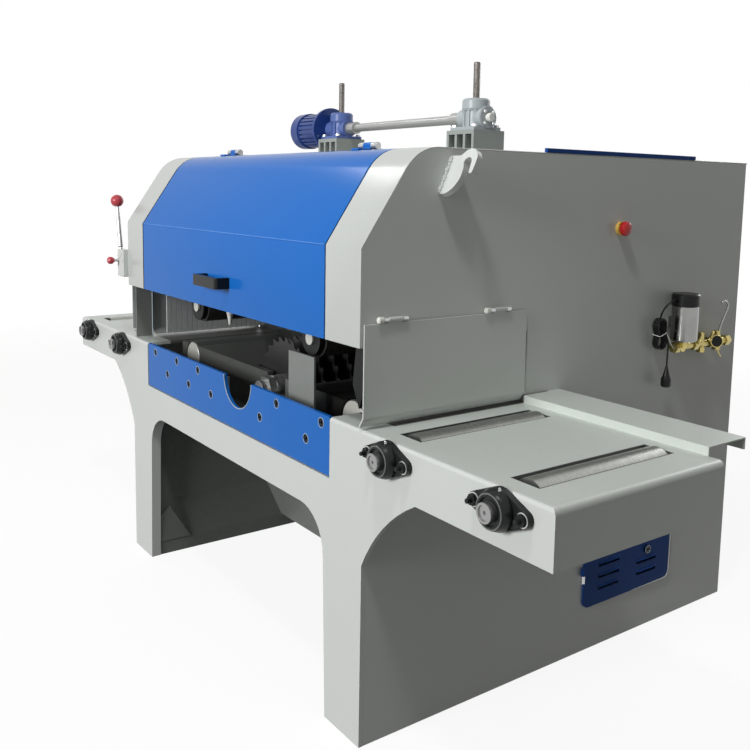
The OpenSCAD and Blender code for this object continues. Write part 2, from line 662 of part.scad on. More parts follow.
// Press frame: two beams over the boards on one carriage behind the chamber wall
beam_y1 = screw_y + 40;
hanger_t = 12;
hanger_r = 46;
hanger_gap = 6;
hanger_y = [beam_y0, 472];
press_shaft_r = 17.5;
column_x = press_x - 140;
column_r = 20;
module press_frame() color(dark) seat() difference() {
    union() {
        both() {
            block([press_x - beam_w / 2, beam_y0, beam_z], [press_x + beam_w / 2, beam_y1, beam_z + beam_h]);
            for (y = hanger_y) slab_xz(y, hanger_t) {
                translate([press_x, press_z]) circle(r = hanger_r);
                translate([press_x - beam_w / 2, press_z]) square([beam_w, beam_z - press_z + slack]);
            }
        }
        block([-press_x, wall_back + 12, beam_z + 10], [press_x, beam_y1 - 10, beam_z + beam_h - 10]);
    }
    both() {
        translate([press_x, 0, press_z]) bar_y(beam_y0 - slack, beam_y1, press_shaft_r + run);
        translate([column_x, screw_y, beam_z]) cylinder(h = beam_h, r = column_r + run);
    }
}
column_foot = table_h + 40;
foot_w = 36;
module guide_columns() color(steel) seat() both() {
    translate([column_x, screw_y, column_foot]) cylinder(h = body_h - roof_t - column_foot, r = column_r);
    block([column_x - foot_w, wall_back, column_foot - 30], [column_x + foot_w, screw_y + foot_w, column_foot]);
}

// A press roller is rubber on a steel shaft that shows in front of its hanger
module press_roller() translate([press_x, 0, press_z]) {
    bar_y(beam_y0 + hanger_t + hanger_gap, hanger_y[1] - beam_y0 - hanger_t - 2 * hanger_gap, press_r);
    bar_y(beam_y0 - hanger_gap, hanger_y[1] + hanger_t - beam_y0 + 2 * hanger_gap, press_shaft_r);
}
module press_roller_right() color("black") seat() press_roller();
module press_roller_left() color("black") seat() mirror([1, 0, 0]) press_roller();

feed_front = bed_y;
feed_back = 456;
feed_shaft_r = 20;
module feed_roller() translate([feed_x, 0, feed_z]) {
    rotate([-90, 0, 0]) rotate_extrude() polygon([[0, feed_front], [feed_r - 4, feed_front], [feed_r, feed_front + 4],
        [feed_r, feed_back], [0, feed_back]]);
    bar_y(feed_back - 1, bay_y - feed_back - 24, feed_shaft_r);
}
module feed_roller_right() color(steel) seat() feed_roller();
module feed_roller_left() color(steel) seat() mirror([1, 0, 0]) feed_roller();

// A table roller with the bearing's inner ring, which stands round the sunk, centred shaft end
roller_gap = 10;
roller_y0 = slot_y0 + roller_gap;
roller_y1 = table_w - table_t - bearing_h - 5;
ring_r = roller_shaft_r + 2.5;
ring_out = 13;
ring_wall = 4.5;
ring_sunk = 3;
centre_r = 4;
module table_roller() difference() {
    union() {
        bar_y(roller_y0, roller_y1 - roller_y0, roller_r);
        bar_y(-bearing_h - ring_out, table_w - 2 + bearing_h + ring_out, roller_shaft_r);
        bar_y(-bearing_h - ring_out, ring_out + 4, ring_r);
    }
    bar_y(-bearing_h - ring_out - slack, ring_sunk + slack, ring_r - ring_wall);
    bar_y(-bearing_h - ring_out - slack, 2 * ring_sunk + slack, centre_r);
}
module table_roller_1() color(steel) seat() translate([-outer_roller_x, 0, roller_z]) table_roller();
module table_roller_2() color(steel) seat() translate([-inner_roller_x, 0, roller_z]) table_roller();
module table_roller_3() color(steel) seat() translate([inner_roller_x, 0, roller_z]) table_roller();
module table_roller_4() color(steel) seat() translate([outer_roller_x, 0, roller_z]) table_roller();

// Saw arbor, blades and drive

blade_y0 = 160;
blade_y1 = blade_y0 + (blade_n - 1) * blade_pitch + blade_t;
collar_l = 44;
housing_r = 75;
journal_r = arbor_r + 4;
pulley_y = 770;
groove_w = 14;
groove_pitch = 20;
pulley_w = 64;
arbor_pulley_r = 70;
motor_pulley_r = 100;
groove_d = 12;
module at_arbor() translate([arbor_x, 0, arbor_z]) children();
module saw_arbor() color(steel) seat() at_arbor() {
    bar_y(blade_y0 - collar_l - 44, blade_y1 - blade_y0 + collar_l + 60, arbor_r);
    bar_y(blade_y1 + collar_l, bay_y - 90 - blade_y1 - collar_l, spacer_r + 8);
    bar_y(blade_y1, pulley_y + pulley_w - blade_y1 + 10, arbor_r);
    bar_y(bay_y - 91, 190, journal_r);
    pulley(arbor_pulley_r);
}
// A pulley with three belt grooves
module pulley(r) difference() {
    bar_y(pulley_y, pulley_w, r);
    for (i = [-1:1]) translate([0, pulley_y + pulley_w / 2 + i * groove_pitch - groove_w / 2, 0]) rotate([-90, 0, 0])
        difference() { cylinder(h = groove_w, r = r + slack); translate([0, 0, -slack]) cylinder(h = groove_w + 2 * slack, r = r - groove_d); }
}
gullet = 14;
function tooth(i) = let (a = 360 / tooth_n, b = i * a) [
    blade_r * [cos(b), sin(b)], (blade_r - gullet) * [cos(b + a * 0.06), sin(b + a * 0.06)],
    (blade_r - gullet) * [cos(b + a * 0.42), sin(b + a * 0.42)], (blade_r - 3) * [cos(b + a * 0.72), sin(b + a * 0.72)]];
module saw_blades() color(steel) seat() at_arbor() for (i = [0:blade_n - 1]) slab_xz(blade_y0 + i * blade_pitch, blade_t) difference() {
    polygon([for (k = [0:tooth_n - 1]) each tooth(k)]);
    circle(r = arbor_r + run);
}
module ring(y, l, r) difference() { bar_y(y, l, r); bar_y(y - slack, l + 2 * slack, arbor_r + run); }
module arbor_collars() color(steel) seat() at_arbor() {
    ring(blade_y0 - collar_l, collar_l, spacer_r);
    for (i = [0:blade_n - 2]) ring(blade_y0 + i * blade_pitch + blade_t, blade_pitch - blade_t, spacer_r);
    ring(blade_y1, collar_l, spacer_r);
    difference() {
        bar_y(blade_y0 - collar_l - 24, 24, spacer_r + 4, $fn = 6);
        bar_y(blade_y0 - collar_l - 24 - slack, 24 + 2 * slack, arbor_r + run);
    }
}
housing_y0 = bay_y - 80;
module arbor_housing() color(cream) seat() at_arbor() difference() {
    union() { bar_y(housing_y0, 180, housing_r); bar_y(bay_y - 14, 14, housing_r + 30); }
    bar_y(housing_y0 - slack, 180 + 2 * slack, journal_r + run);
}
motor_z = 330;
rail_z = 100;
motor_rail = 50;
motor_foot = 40;
belt_fit = 0.5;
belt_h = 9;
// Outline of a belt, taut round both pulleys, grown outwards from the groove floors
module belt_loop(grow) {
    d = arbor_z - motor_z;
    r1 = arbor_pulley_r - groove_d + belt_fit + grow;
    r2 = motor_pulley_r - groove_d + belt_fit + grow;
    a = acos((r1 - r2) / d);
    rotate(-90) polygon(concat(arc([0, 0], r1, a, 360 - a, 24), arc([d, 0], r2, -a, a, 24)));
}
module drive_belts() color("black") seat() at_arbor() for (i = [-1:1])
    slab_xz(pulley_y + pulley_w / 2 + i * groove_pitch - groove_w / 2 + belt_fit, groove_w - 2 * belt_fit) difference() {
        belt_loop(belt_h);
        belt_loop(0);
    }
main_motor_r = 170;
main_motor_y = pulley_y + pulley_w + 40;
main_motor_l = 420;
main_shaft_r = 27.5;
main_grip = 60;
motor_rail_y = [main_motor_y + 80, main_motor_y + 290];
module main_motor() color(navy) seat() translate([arbor_x, 0, 0]) {
    difference() {
        union() {
            translate([0, 0, motor_z]) rotate([-90, 0, 0]) rotate_extrude() polygon([[0, main_motor_y], [main_motor_r - 40, main_motor_y],
                [main_motor_r, main_motor_y + 40], [main_motor_r, main_motor_y + main_motor_l - 30],
                [main_motor_r - 20, main_motor_y + main_motor_l], [0, main_motor_y + main_motor_l]]);
            for (s = [-1, 1]) block([s * (main_motor_r - motor_foot) - motor_foot, main_motor_y + 60, rail_z + motor_rail],
                [s * (main_motor_r - motor_foot) + motor_foot, main_motor_y + main_motor_l - 60, motor_z - main_motor_r / 2]);
        }
        translate([0, 0, motor_z]) bar_y(main_motor_y - slack, main_grip + slack, main_shaft_r + run);
    }
}
module motor_pulley() color(dark) seat() translate([arbor_x, 0, motor_z]) {
    pulley(motor_pulley_r);
    bar_y(pulley_y - 8, main_motor_y + main_grip - 2 - pulley_y + 8, main_shaft_r);
}

// Kickback fingers hang on a shaft across the infeed
finger_shaft_r = 12;
finger_pitch = 19;
finger_l = finger_z - table_h - 20;
slat_n = 20;
slat_w = 16;
slat_pitch = 20;
slat_t = 5;
slat_y = 92;
// The kickback shaft at the infeed, and a rod with a curtain of slats at the outfeed
module cross_rods() color(steel) seat() {
    both() translate([finger_x, 0, finger_z]) bar_y(-hood_out + hood_t, bay_y + hood_out - hood_t, finger_shaft_r);
    for (i = [0:slat_n - 1]) block([-finger_x - slat_t / 2, slat_y + i * slat_pitch, table_h + 20],
        [-finger_x + slat_t / 2, slat_y + i * slat_pitch + slat_w, finger_z]);
}
finger_y = 62;
module kickback_fingers() color(dark) seat() for (i = [0:finger_n - 1])
    slab_xz(finger_y + i * finger_pitch, finger_t) translate([finger_x, finger_z]) difference() {
        union() {
            circle(r = finger_shaft_r + 12);
            polygon(concat([[finger_shaft_r + 12, 0]], [[10, -finger_l * 0.7]], [[-16, -finger_l]], [[-44, -finger_l * 0.72]],
                [[-finger_shaft_r - 12, 0]]));
        }
        circle(r = finger_shaft_r + run);
    }

// Infeed and outfeed flaps

// Front edges of the infeed and outfeed flaps, the latter behind the lever's bracket, and their rear edge
flap_front = -5;
flap_y0 = 2;
flap_y1 = table_w - 1;
flap_lip = 16;
flap_hinge_x = half_l + 9;
flap_hinge_z = flap_top + 8;
flap_knuckle_r = 6;
flap_knuckle = 40;
flap_lug = 14;
flap_pin_r = 3;
flap_hinge_y = [80, 409];
module at_flap_hinges() for (y = flap_hinge_y) translate([flap_hinge_x, y, flap_hinge_z]) children();
// A flap whose front edge and folded lower lip start at depths y0 and y
module flap(y0, y) difference() {
    union() {
        block([flap_x, y0, table_h + 31], [flap_x + flap_t, flap_y1, flap_top]);
        slab_xz(y, flap_y1 - y) polygon([[flap_x, table_h + 33], [flap_x + flap_t, table_h + 33], [flap_x + flap_t, table_h + 30],
            [flap_x + flap_t - flap_lip, table_h + 6], [flap_x - flap_lip, table_h + 6], [flap_x, table_h + 32]]);
        at_flap_hinges() {
            bar_y(-flap_knuckle / 2, flap_knuckle, flap_knuckle_r);
            block([flap_x - flap_hinge_x, -flap_knuckle / 2, flap_top - flap_hinge_z - 4], [flap_x + flap_t - flap_hinge_x, flap_knuckle / 2, 0]);
        }
    }
    at_flap_hinges() bar_y(-flap_knuckle / 2 - slack, flap_knuckle + 2 * slack, flap_pin_r + run);
}
module flap_right() color(cream) seat() flap(flap_front, flap_front);
module flap_left() color(cream) seat() mirror([1, 0, 0]) flap(flap_y0, post_y + 6);

// Vent door on the infeed end plate

vent_t = 5;
vent_x = half_l + 1;
vent_r = 24;
vent_knuckle = 22;
vent_hinge_x = half_l + 8;
vent_hinge_y = vent_y - 7;
lock_y = vent_y + vent_w - 115;
// Two columns of slots, where the lock takes the place of one slot in the second column
vent_slot_y = [63, 237];
vent_slot_z = 47;
vent_slot_l = 94;
vent_slot_w = 11;
vent_step = 35;
vent_rows = 6;
lock_row = 2;
lock_z = vent_z + vent_slot_z + lock_row * vent_step;
lock_r = 6;
tongue_l = 106;
module at_vent_hinges() for (z = [vent_z + 82, vent_z + vent_h - 118]) translate([vent_hinge_x, vent_hinge_y, z]) children();
module vent_outline() {
    translate([vent_r, 0]) square([vent_w - 2 * vent_r, vent_h]);
    translate([0, vent_r]) square([vent_w, vent_h - 2 * vent_r]);
    for (y = [vent_r, vent_w - vent_r], z = [vent_r, vent_h - vent_r]) translate([y, z]) circle(r = vent_r);
}
module vent_door() color(blue) seat() difference() {
    union() {
        slab_yz(vent_x, vent_t) translate([vent_y, vent_z]) vent_outline();
        at_vent_hinges() translate([0, 0, vent_knuckle + knuckle_gap]) {
            cylinder(h = vent_knuckle, r = flap_knuckle_r);
            block([vent_x - vent_hinge_x, 0, 0], [vent_x - vent_hinge_x + vent_t, 12, vent_knuckle]);
        }
    }
    at_vent_hinges() cylinder(h = 3 * vent_knuckle, r = flap_pin_r + run);
    slab_yz(vent_x - slack, vent_t + 2 * slack) for (y = vent_slot_y, i = [0:vent_rows - 1])
        if (y == vent_slot_y[0] || i != lock_row) translate([vent_y + y, vent_z + vent_slot_z + i * vent_step]) slot(vent_slot_l, vent_slot_w);
    translate([0, lock_y, lock_z]) bar_x(vent_x - slack, vent_t + 2 * slack, lock_r + run);
}
module vent_lock() color(steel) seat() translate([0, lock_y, lock_z]) {
    difference() {
        bar_x(vent_x + vent_t + 0.5, 5, 12);
        block([vent_x + vent_t + 3, -9, -1.5], [vent_x + vent_t + 8, 9, 1.5]);
    }
    bar_x(half_l - wall_t - 9, vent_x + vent_t + 9.5 + wall_t - half_l, lock_r);
    block([half_l - wall_t - 9, -8, -8], [half_l - wall_t - 5, 8, tongue_l]);
}

// Emergency stop on the infeed end plate

stop_y = 868;
stop_z = body_h - 199;
stop_travel = 5;
collar_t = 10;
module estop_base() color([0.85, 0.80, 0.45]) seat() translate([0, stop_y, stop_z]) difference() {
    bar_x(half_l, collar_t, stop_r - 1);
    bar_x(half_l + 2, collar_t, stop_r * 0.4 + run);
}
module estop_button() color(red) seat() translate([half_l, stop_y, stop_z]) rotate([0, 90, 0]) rotate_extrude()
    polygon(concat([[0, 2 + stop_travel + 0.5], [stop_r * 0.4, 2 + stop_travel + 0.5], [stop_r * 0.4, collar_t + stop_travel + 1], [stop_r, collar_t + stop_travel + 1],
        [stop_r, collar_t + stop_travel + 8]], [for (i = [1:6]) [stop_r * cos(15 * i), collar_t + stop_travel + 8 + 10 * sin(15 * i)]]));

// Feed lever at the outfeed end

bracket_z0 = hood_z + 28;
bracket_z1 = bracket_z0 + 98;
cheek_t = 4;
cheek_gap = 13.5;
cheek_out = 17;
pivot_r = 7;
hub_r = 14;
hub_l = 12;
lever_y = -lever_out + cheek_t + 1 + hub_l / 2;
lever_l = 233;
lever_lean = 10;
lever_back = -lever_out + 2 * cheek_t + cheek_gap;
pin_x = lever_x + 6;
pin_z = lever_z + 17;
module lever_bracket() color(cream) seat() mirror([1, 0, 0]) difference() {
    union() {
        block([half_l, -lever_out, bracket_z0], [half_l + cheek_t, lever_back, bracket_z1]);
        block([half_l, lever_back - slack, bracket_z0 + 45], [half_l + cheek_t, 40, bracket_z1]);
        for (y = [-lever_out, lever_back - cheek_t]) block([half_l, y, bracket_z0], [lever_x + cheek_out, y + cheek_t, bracket_z1]);
        translate([lever_x, 0, lever_z]) bar_y(-lever_out, lever_out + lever_back, pivot_r);
    }
    translate([pin_x, 0, pin_z]) bar_y(-lever_out - slack, cheek_t + 2 * slack, 5 + run);
}
module feed_lever() color(steel) seat() mirror([1, 0, 0]) difference() {
    translate([lever_x, lever_y, lever_z]) rotate([0, lever_lean, 0]) {
        bar_y(-hub_l / 2, hub_l, hub_r);
        cylinder(h = lever_l, r = 5);
        translate([0, 0, lever_l]) sphere(r = ball_r);
    }
    translate([lever_x, 0, lever_z]) bar_y(lever_y - hub_l / 2 - slack, hub_l + 2 * slack, pivot_r + run);
}
module lock_pin() color(red) seat() mirror([1, 0, 0]) translate([pin_x, 0, pin_z]) rotate([-90, 0, 0]) rotate_extrude()
    polygon([[0, -front_reach], [8, -front_reach], [13, -front_reach + 5], [13, -front_reach + 16], [7, -front_reach + 24], [5, -front_reach + 24],
        [5, -lever_out + cheek_t], [0, -lever_out + cheek_t]]);

cover_l = 430;
cover_y = 852;
cover_w = 218;
cover_t = 10;
module top_cover() color(blue) seat() block([half_l - cover_l, cover_y, body_h], [half_l, cover_y + cover_w, body_h + cover_t]);

// Coolant pump with its brass manifold and cord

gland_l = 12;
can_z = cap_top - cap_h - can_h;
module pump_can() color(steel) seat() {
    translate([pump_x, pump_y, can_z]) rotate_extrude() polygon([[0, 0], [can_r - 4, 0], [can_r, 4], [can_r, can_h - 5], [can_r - 2, can_h], [0, can_h]]);
    difference() {
        block([half_l, pump_y - 16, can_z + 40], [pump_x, pump_y + 16, can_z + 70]);
        translate([pump_x, pump_y, can_z]) cylinder(h = can_h, r = can_r);
    }
}
module pump_cap() color("black") seat() {
    translate([pump_x, pump_y, cap_top - cap_h]) rotate_extrude() polygon([[0, 0], [can_r + 2, 0], [can_r + 2, cap_h - 4], [can_r - 2, cap_h], [0, cap_h]]);
    translate([pump_x, 0, cord_z]) bar_y(pump_y - can_r - 2 - gland_l, gland_l + 6, cord_d);
}
// The manifold runs back along the end plate, with places given from the pump's axis
pipe_z = can_z - 20;
pipe_x = 33;
pipe_r = 11;
pipe_l = 270;
nut_y = [-30, 60, 142, 224];
nut_r = 17;
nut_l = 22;
valve_y = [107, 188];
valve_h = 60;
stay_y = [22, 202];
module brass_manifold() color(gold) seat() translate([half_l + pipe_x, pump_y, pipe_z]) {
    bar_y(nut_y[0] + 2, pipe_l, pipe_r);
    for (y = nut_y) bar_y(y, nut_l, nut_r, $fn = 6);
    translate([pump_x - half_l - pipe_x, 0, 0]) cylinder(h = can_z - pipe_z, r = pipe_r + 3, $fn = 6);
    bar_x(-10, 24, pipe_r + 3);
    for (y = valve_y) translate([0, y, -26]) { cylinder(h = valve_h, r = pipe_r - 1); cylinder(h = 16, r = pipe_r + 3, $fn = 6); }
    for (y = stay_y) translate([0, y, 0]) bar_x(-pipe_x, pipe_x, pipe_r - 3);
}

// Cord: a lead from the cap, a hank of flat loops and a tail to the plug
cord_z = cap_top - 18;
hank_y = pump_y - 82;
hank_z = cap_top - 118;
hank_x = half_l + 10;
hank_step = cord_d + 0.6;
hank_half = 20;
hank_run = 26;
waist = 0.72;
// Side of the hank at height u on a run, drawn in at the waist
function run_v(u) = hank_half * (waist + (1 - waist) * (0.5 - 0.5 * cos(180 * min(1, abs(u) / hank_run))));
// A point of the hank at layer x, side v and height u, with the whole hank leaning back at its foot
hank_lean = 12;
function hung(x, v, u) = [hank_x + x * hank_step, hank_y + v * cos(hank_lean) - u * sin(hank_lean), hank_z + u * cos(hank_lean) + v * sin(hank_lean)];
// One loop goes down the near run, round the foot, up the far run with a climb of one layer, and round the head
function hank_at(t) = let (k = floor(t), f = t - k)
    f < 0.2 ? let (u = hank_run - f / 0.2 * 2 * hank_run) hung(k, run_v(u), u)
    : f < 0.5 ? let (a = (f - 0.2) / 0.3 * 180) hung(k, hank_half * cos(a), -hank_run - hank_half * sin(a))
    : f < 0.7 ? let (s = (f - 0.5) / 0.2, u = -hank_run + s * 2 * hank_run) hung(k + (1 - cos(180 * s)) / 2, -run_v(u), u)
    : let (a = (f - 0.7) / 0.3 * 180) hung(k + 1, -hank_half * cos(a), hank_run + hank_half * sin(a));
hank_rings = 24;
hank_points = [for (i = [0:hank_n * hank_rings + 5]) hank_at(min(hank_n + 0.199, i / hank_rings))];
fine = [for (i = [0:4 * (hank_n * hank_rings + 5)]) hank_at(min(hank_n + 0.199, i / 4 / hank_rings))];
hank_gap = min([for (i = [0:len(fine) - 1], j = [i + 40:1:len(fine) - 1]) norm(fine[i] - fine[j])]) - cord_d;
echo(hank_gap = hank_gap);
hank_in = hank_at(0);
hank_out = hank_at(hank_n + 0.199);
// The lead is measured from the pump's axis and the top of its cap, the tail from the plug
cap_at = [pump_x, pump_y, cap_top];
lead = concat([[pump_x, pump_y - can_r - 2 - gland_l, cord_z], [pump_x, pump_y - can_r - 9 - gland_l, cord_z]],
    [for (d = [[-3, -68, -21.5], [-10, -73, -32], [-20, -74.5, -46], [-29, -73, -62], [-34.5, -70.2, -76], [-36, -68.7, -83]]) cap_at + d], [hank_in]);
plug_y = pump_y - 55.5;
plug_top = cap_top - 216;
tail = concat([hank_out], [for (d = [[0, 71.5], [1.5, 62], [1.5, 50], [0.5, 34], [0, 18], [0, 6], [0, 0]]) [hank_out.x, plug_y + d[0], plug_top + d[1]]]);
// A round tube along points, with its rings square to the way
module tube(points, r, sides) {
    n = len(points);
    way = [for (i = [0:n - 1]) let (d = points[min(n - 1, i + 1)] - points[max(0, i - 1)]) d / norm(d)];
    side = [for (w = way) let (c = cross(w, abs(w.x) > 0.9 ? [0, 0, 1] : [1, 0, 0])) c / norm(c)];
    rings = [for (i = [0:n - 1]) let (s = side[i], t = cross(way[i], s)) [for (k = [0:sides - 1]) points[i] + r * (cos(360 * k / sides) * s + sin(360 * k / sides) * t)]];
    faces = concat([for (i = [0:n - 2], k = [0:sides - 1]) let (a = i * sides + k, b = i * sides + (k + 1) % sides) each [[a, b, b + sides], [a, b + sides, a + sides]]],
        [for (k = [1:sides - 2]) [0, k + 1, k]], [for (k = [1:sides - 2]) let (o = (n - 1) * sides) [o, o + k, o + k + 1]]);
    polyhedron([for (q = rings) each q], faces);
}
module cord_free() color("black") seat() { tube(lead, cord_d / 2, 8); tube(tail, cord_d / 2, 8); }
module cord_hank() color("black") seat() tube(hank_points, cord_d / 2, 6);
plug_r = 15;
module mains_plug() color("black") seat() translate([hank_out.x, plug_y, plug_top]) rotate([180, 0, 0]) rotate_extrude()
    polygon([[0, 0], [cord_d / 2 + 1, 0], [7, 14], [11, 30], [plug_r, 38], [plug_r, 58], [plug_r - 3, 62], [0, 62]]);

front_plate();
end_plate_right();
end_plate_left();
back_panel();
chamber_wall();
inner_plates();
roof_panel();
hood_strips();
table_right();
table_left();
fences();
bed_plate();
arbor_panel();
fasteners();
bearing_housings();
lifting_hooks();
hinge_mounts();
front_door();
door_handle();
jack_brackets();
jack_gearbox_right();
jack_gearbox_left();
jack_motor();
cross_shaft();
jack_screws();
press_frame();
guide_columns();
press_roller_right();
press_roller_left();
feed_roller_right();
feed_roller_left();
table_roller_1();
table_roller_2();
table_roller_3();
table_roller_4();
saw_arbor();
saw_blades();
arbor_collars();
arbor_housing();
drive_belts();
main_motor();
motor_pulley();
cross_rods();
kickback_fingers();
flap_right();
flap_left();
vent_door();
vent_lock();
estop_base();
estop_button();
lever_bracket();
feed_lever();
lock_pin();
top_cover();
pump_can();
pump_cap();
brass_manifold();
cord_free();
cord_hank();
mains_plug();
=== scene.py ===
# %% [markdown]
# # Multi rip saw
# A floor machine in light grey paint with a blue hood: boards go in over the right table, under the
# press rollers, through an arbor of saw blades and out over the left table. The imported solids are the
# frame of this lesson, and each cell adds one piece or one finish to them.

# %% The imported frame
import math

import bmesh
import bpy
import numpy as np
from mathutils import Matrix, Vector


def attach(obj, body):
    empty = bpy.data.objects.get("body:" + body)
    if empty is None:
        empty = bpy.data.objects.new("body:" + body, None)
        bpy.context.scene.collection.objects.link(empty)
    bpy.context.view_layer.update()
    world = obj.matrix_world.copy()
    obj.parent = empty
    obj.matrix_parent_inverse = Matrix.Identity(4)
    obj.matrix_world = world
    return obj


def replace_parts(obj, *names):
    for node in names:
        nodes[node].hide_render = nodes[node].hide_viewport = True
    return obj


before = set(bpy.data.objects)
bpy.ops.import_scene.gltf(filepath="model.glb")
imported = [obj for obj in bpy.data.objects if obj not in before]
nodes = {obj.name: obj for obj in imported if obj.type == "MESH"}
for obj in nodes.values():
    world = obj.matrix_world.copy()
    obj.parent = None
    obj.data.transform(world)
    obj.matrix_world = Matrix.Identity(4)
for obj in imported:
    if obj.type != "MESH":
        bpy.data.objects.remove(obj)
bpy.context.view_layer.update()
# Depth of the front plate's face in the row frame; depths below are measured back from it
FRONT_Y = -0.703

# %% [markdown]
# ## Camera
# The photograph was taken from the infeed corner, a little above the hood's lower edge. Its place and
# angles were solved from the corners of the body, so the render lines up with the photograph.

# %% Camera
PHOTO_SIDE = 750
FOCAL = 873.8
CENTRE = (378.6, 295.9)
YAW, PITCH, ROLL = (math.radians(a) for a in (54.08, 7.04, 0.97))

look = Vector((-math.sin(YAW) * math.cos(PITCH), math.cos(YAW) * math.cos(PITCH), -math.sin(PITCH)))
flat_right = Vector((math.cos(YAW), math.sin(YAW), 0))
flat_up = flat_right.cross(look)
right = flat_right * math.cos(ROLL) + flat_up * math.sin(ROLL)
up = flat_up * math.cos(ROLL) - flat_right * math.sin(ROLL)
lens = bpy.data.cameras.new("camera")
lens.sensor_width = 36
lens.lens = FOCAL / PHOTO_SIDE * lens.sensor_width
lens.shift_x = 0.5 - CENTRE[0] / PHOTO_SIDE
lens.shift_y = CENTRE[1] / PHOTO_SIDE - 0.5
lens.clip_end = 60
camera = bpy.data.objects.new("camera", lens)
stand = Matrix.Translation((2.324, FRONT_Y - 1.116, 1.332))
camera.matrix_world = stand @ Matrix((right, up, -look)).transposed().to_4x4()
bpy.context.scene.collection.objects.link(camera)
bpy.context.scene.camera = camera
print("lens", round(lens.lens, 2))


# %% [markdown]
# ## Surfaces from grids
# Most new pieces are a profile carried along a path. The helpers below take whole arrays of points, so
# a piece is one formula on a grid of two parameters.

# %% Grid helpers
def grid_piece(name, points, closed_u=False, closed_v=False, caps=False):
    """A mesh from an array of points [u, v, xyz]: each cell of the grid is one quad, and closed
    directions wrap round to the first row or column. Caps close the first and last row."""
    rows, cols = points.shape[:2]
    index = np.arange(rows * cols).reshape(rows, cols)
    u_ring = np.vstack([index, index[:1]]) if closed_u else index
    ring = np.hstack([u_ring, u_ring[:, :1]]) if closed_v else u_ring
    quads = np.stack([ring[:-1, :-1], ring[:-1, 1:], ring[1:, 1:], ring[1:, :-1]], -1).reshape(-1, 4)
    faces = quads.tolist()
    if caps:
        faces += [index[0, ::-1].tolist(), index[-1].tolist()]
    mesh = bpy.data.meshes.new(name)
    mesh.from_pydata(points.reshape(-1, 3).tolist(), [], faces)
    mesh.polygons.foreach_set("use_smooth", np.ones(len(faces), bool))
    piece = bpy.data.objects.new(name, mesh)
    bpy.context.scene.collection.objects.link(piece)
    return piece


def smooth_path(points, per_span=8):
    """A Catmull-Rom curve: between two points it is the cubic whose slope at each point is half the
    step from the point before to the point after."""
    p = np.asarray(points, float)
    p = np.vstack([2 * p[0] - p[1], p, 2 * p[-1] - p[-2]])
    t = np.linspace(0, 1, per_span, endpoint=False)[:, None]
    a, b, c, d = p[:-3, None], p[1:-2, None], p[2:-1, None], p[3:, None]
    cubic = (3 * b - a - 3 * c + d) * t**3
    curve = 0.5 * (2 * b + (c - a) * t + (2 * a - 5 * b + 4 * c - d) * t**2 + cubic)
    return np.vstack([curve.reshape(-1, 3), p[-2]])


def tube(name, path, radius, sides=12, lean=(1, 0, 0), closed=False):
    """A circle carried along a path: at each point the circle lies in the plane square to the path,
    turned so that its first axis is square to the lean direction. The radius may change on the way."""
    path = np.asarray(path, float)
    way = np.roll(path, -1, 0) - np.roll(path, 1, 0) if closed else np.gradient(path, axis=0)
    way /= np.linalg.norm(way, axis=1, keepdims=True)
    side = np.cross(way, lean)
    side /= np.linalg.norm(side, axis=1, keepdims=True)
    other = np.cross(way, side)
    turn = np.linspace(0, 2 * math.pi, sides, endpoint=False)[None, :, None]
    reach = np.broadcast_to(np.asarray(radius, float), len(path))[:, None, None]
    points = path[:, None] + reach * (np.cos(turn) * side[:, None] + np.sin(turn) * other[:, None])
    return grid_piece(name, points, closed_u=closed, closed_v=True, caps=not closed)


def placed(*points):
    """Points given by x, depth behind the front plate and height, moved to the row frame."""
    return np.asarray(points, float) + (0, FRONT_Y, 0)


# %% [markdown]
# ## The pump's cord
# The pump on the infeed end keeps its mains cord folded into a hank of four flat loops, drawn in at the
# waist by a wire tie. The route is one smooth line: out of the cap's gland, down into the first loop,
# round the hank layer by layer, and straight down to the plug. The photograph shows all of it.

# %% Route of the cord
CORD_D = 0.005
HANK_X, HANK_Y, HANK_Z = 0.742, 1.046, 0.920
HANK_STEP, HANK_HALF, HANK_RUN, HANK_LOOPS = 0.0056, 0.020, 0.026, 4
HANK_WAIST = 0.72
HANK_LEAN = math.radians(12)


def hung(layer, side, height):
    """A point of the hank: the layer steps out from the wall, side and height turn by the lean."""
    y = HANK_Y + side * math.cos(HANK_LEAN) - height * math.sin(HANK_LEAN)
    z = HANK_Z + height * math.cos(HANK_LEAN) + side * math.sin(HANK_LEAN)
    return np.stack([HANK_X + layer * HANK_STEP, y, z], -1)


def hank_line(t):
    """One loop for each whole step of t: down the near run, half a circle round the foot, up the far
    run while it climbs one layer, and half a circle round the head. The runs draw in at the waist."""
    k = np.floor(t)
    f = t - k
    foot, head, rise = math.pi * (f - 0.2) / 0.3, math.pi * (f - 0.7) / 0.3, (f - 0.5) / 0.2
    stage = [f < 0.2, f < 0.5, f < 0.7]
    height = np.select(stage, [HANK_RUN * (1 - 10 * f), -HANK_RUN - HANK_HALF * np.sin(foot),
        HANK_RUN * (2 * rise - 1)], HANK_RUN + HANK_HALF * np.sin(head))
    drawn = 0.5 - 0.5 * np.cos(math.pi * np.minimum(1, np.abs(height) / HANK_RUN))
    run = HANK_HALF * (HANK_WAIST + (1 - HANK_WAIST) * drawn)
    side = np.select(stage, [run, HANK_HALF * np.cos(foot), -run], -HANK_HALF * np.cos(head))
    layer = k + np.select([f < 0.5, f < 0.7], [0, 0.5 - 0.5 * np.cos(math.pi * rise)], 1)
    return hung(layer, side, height)


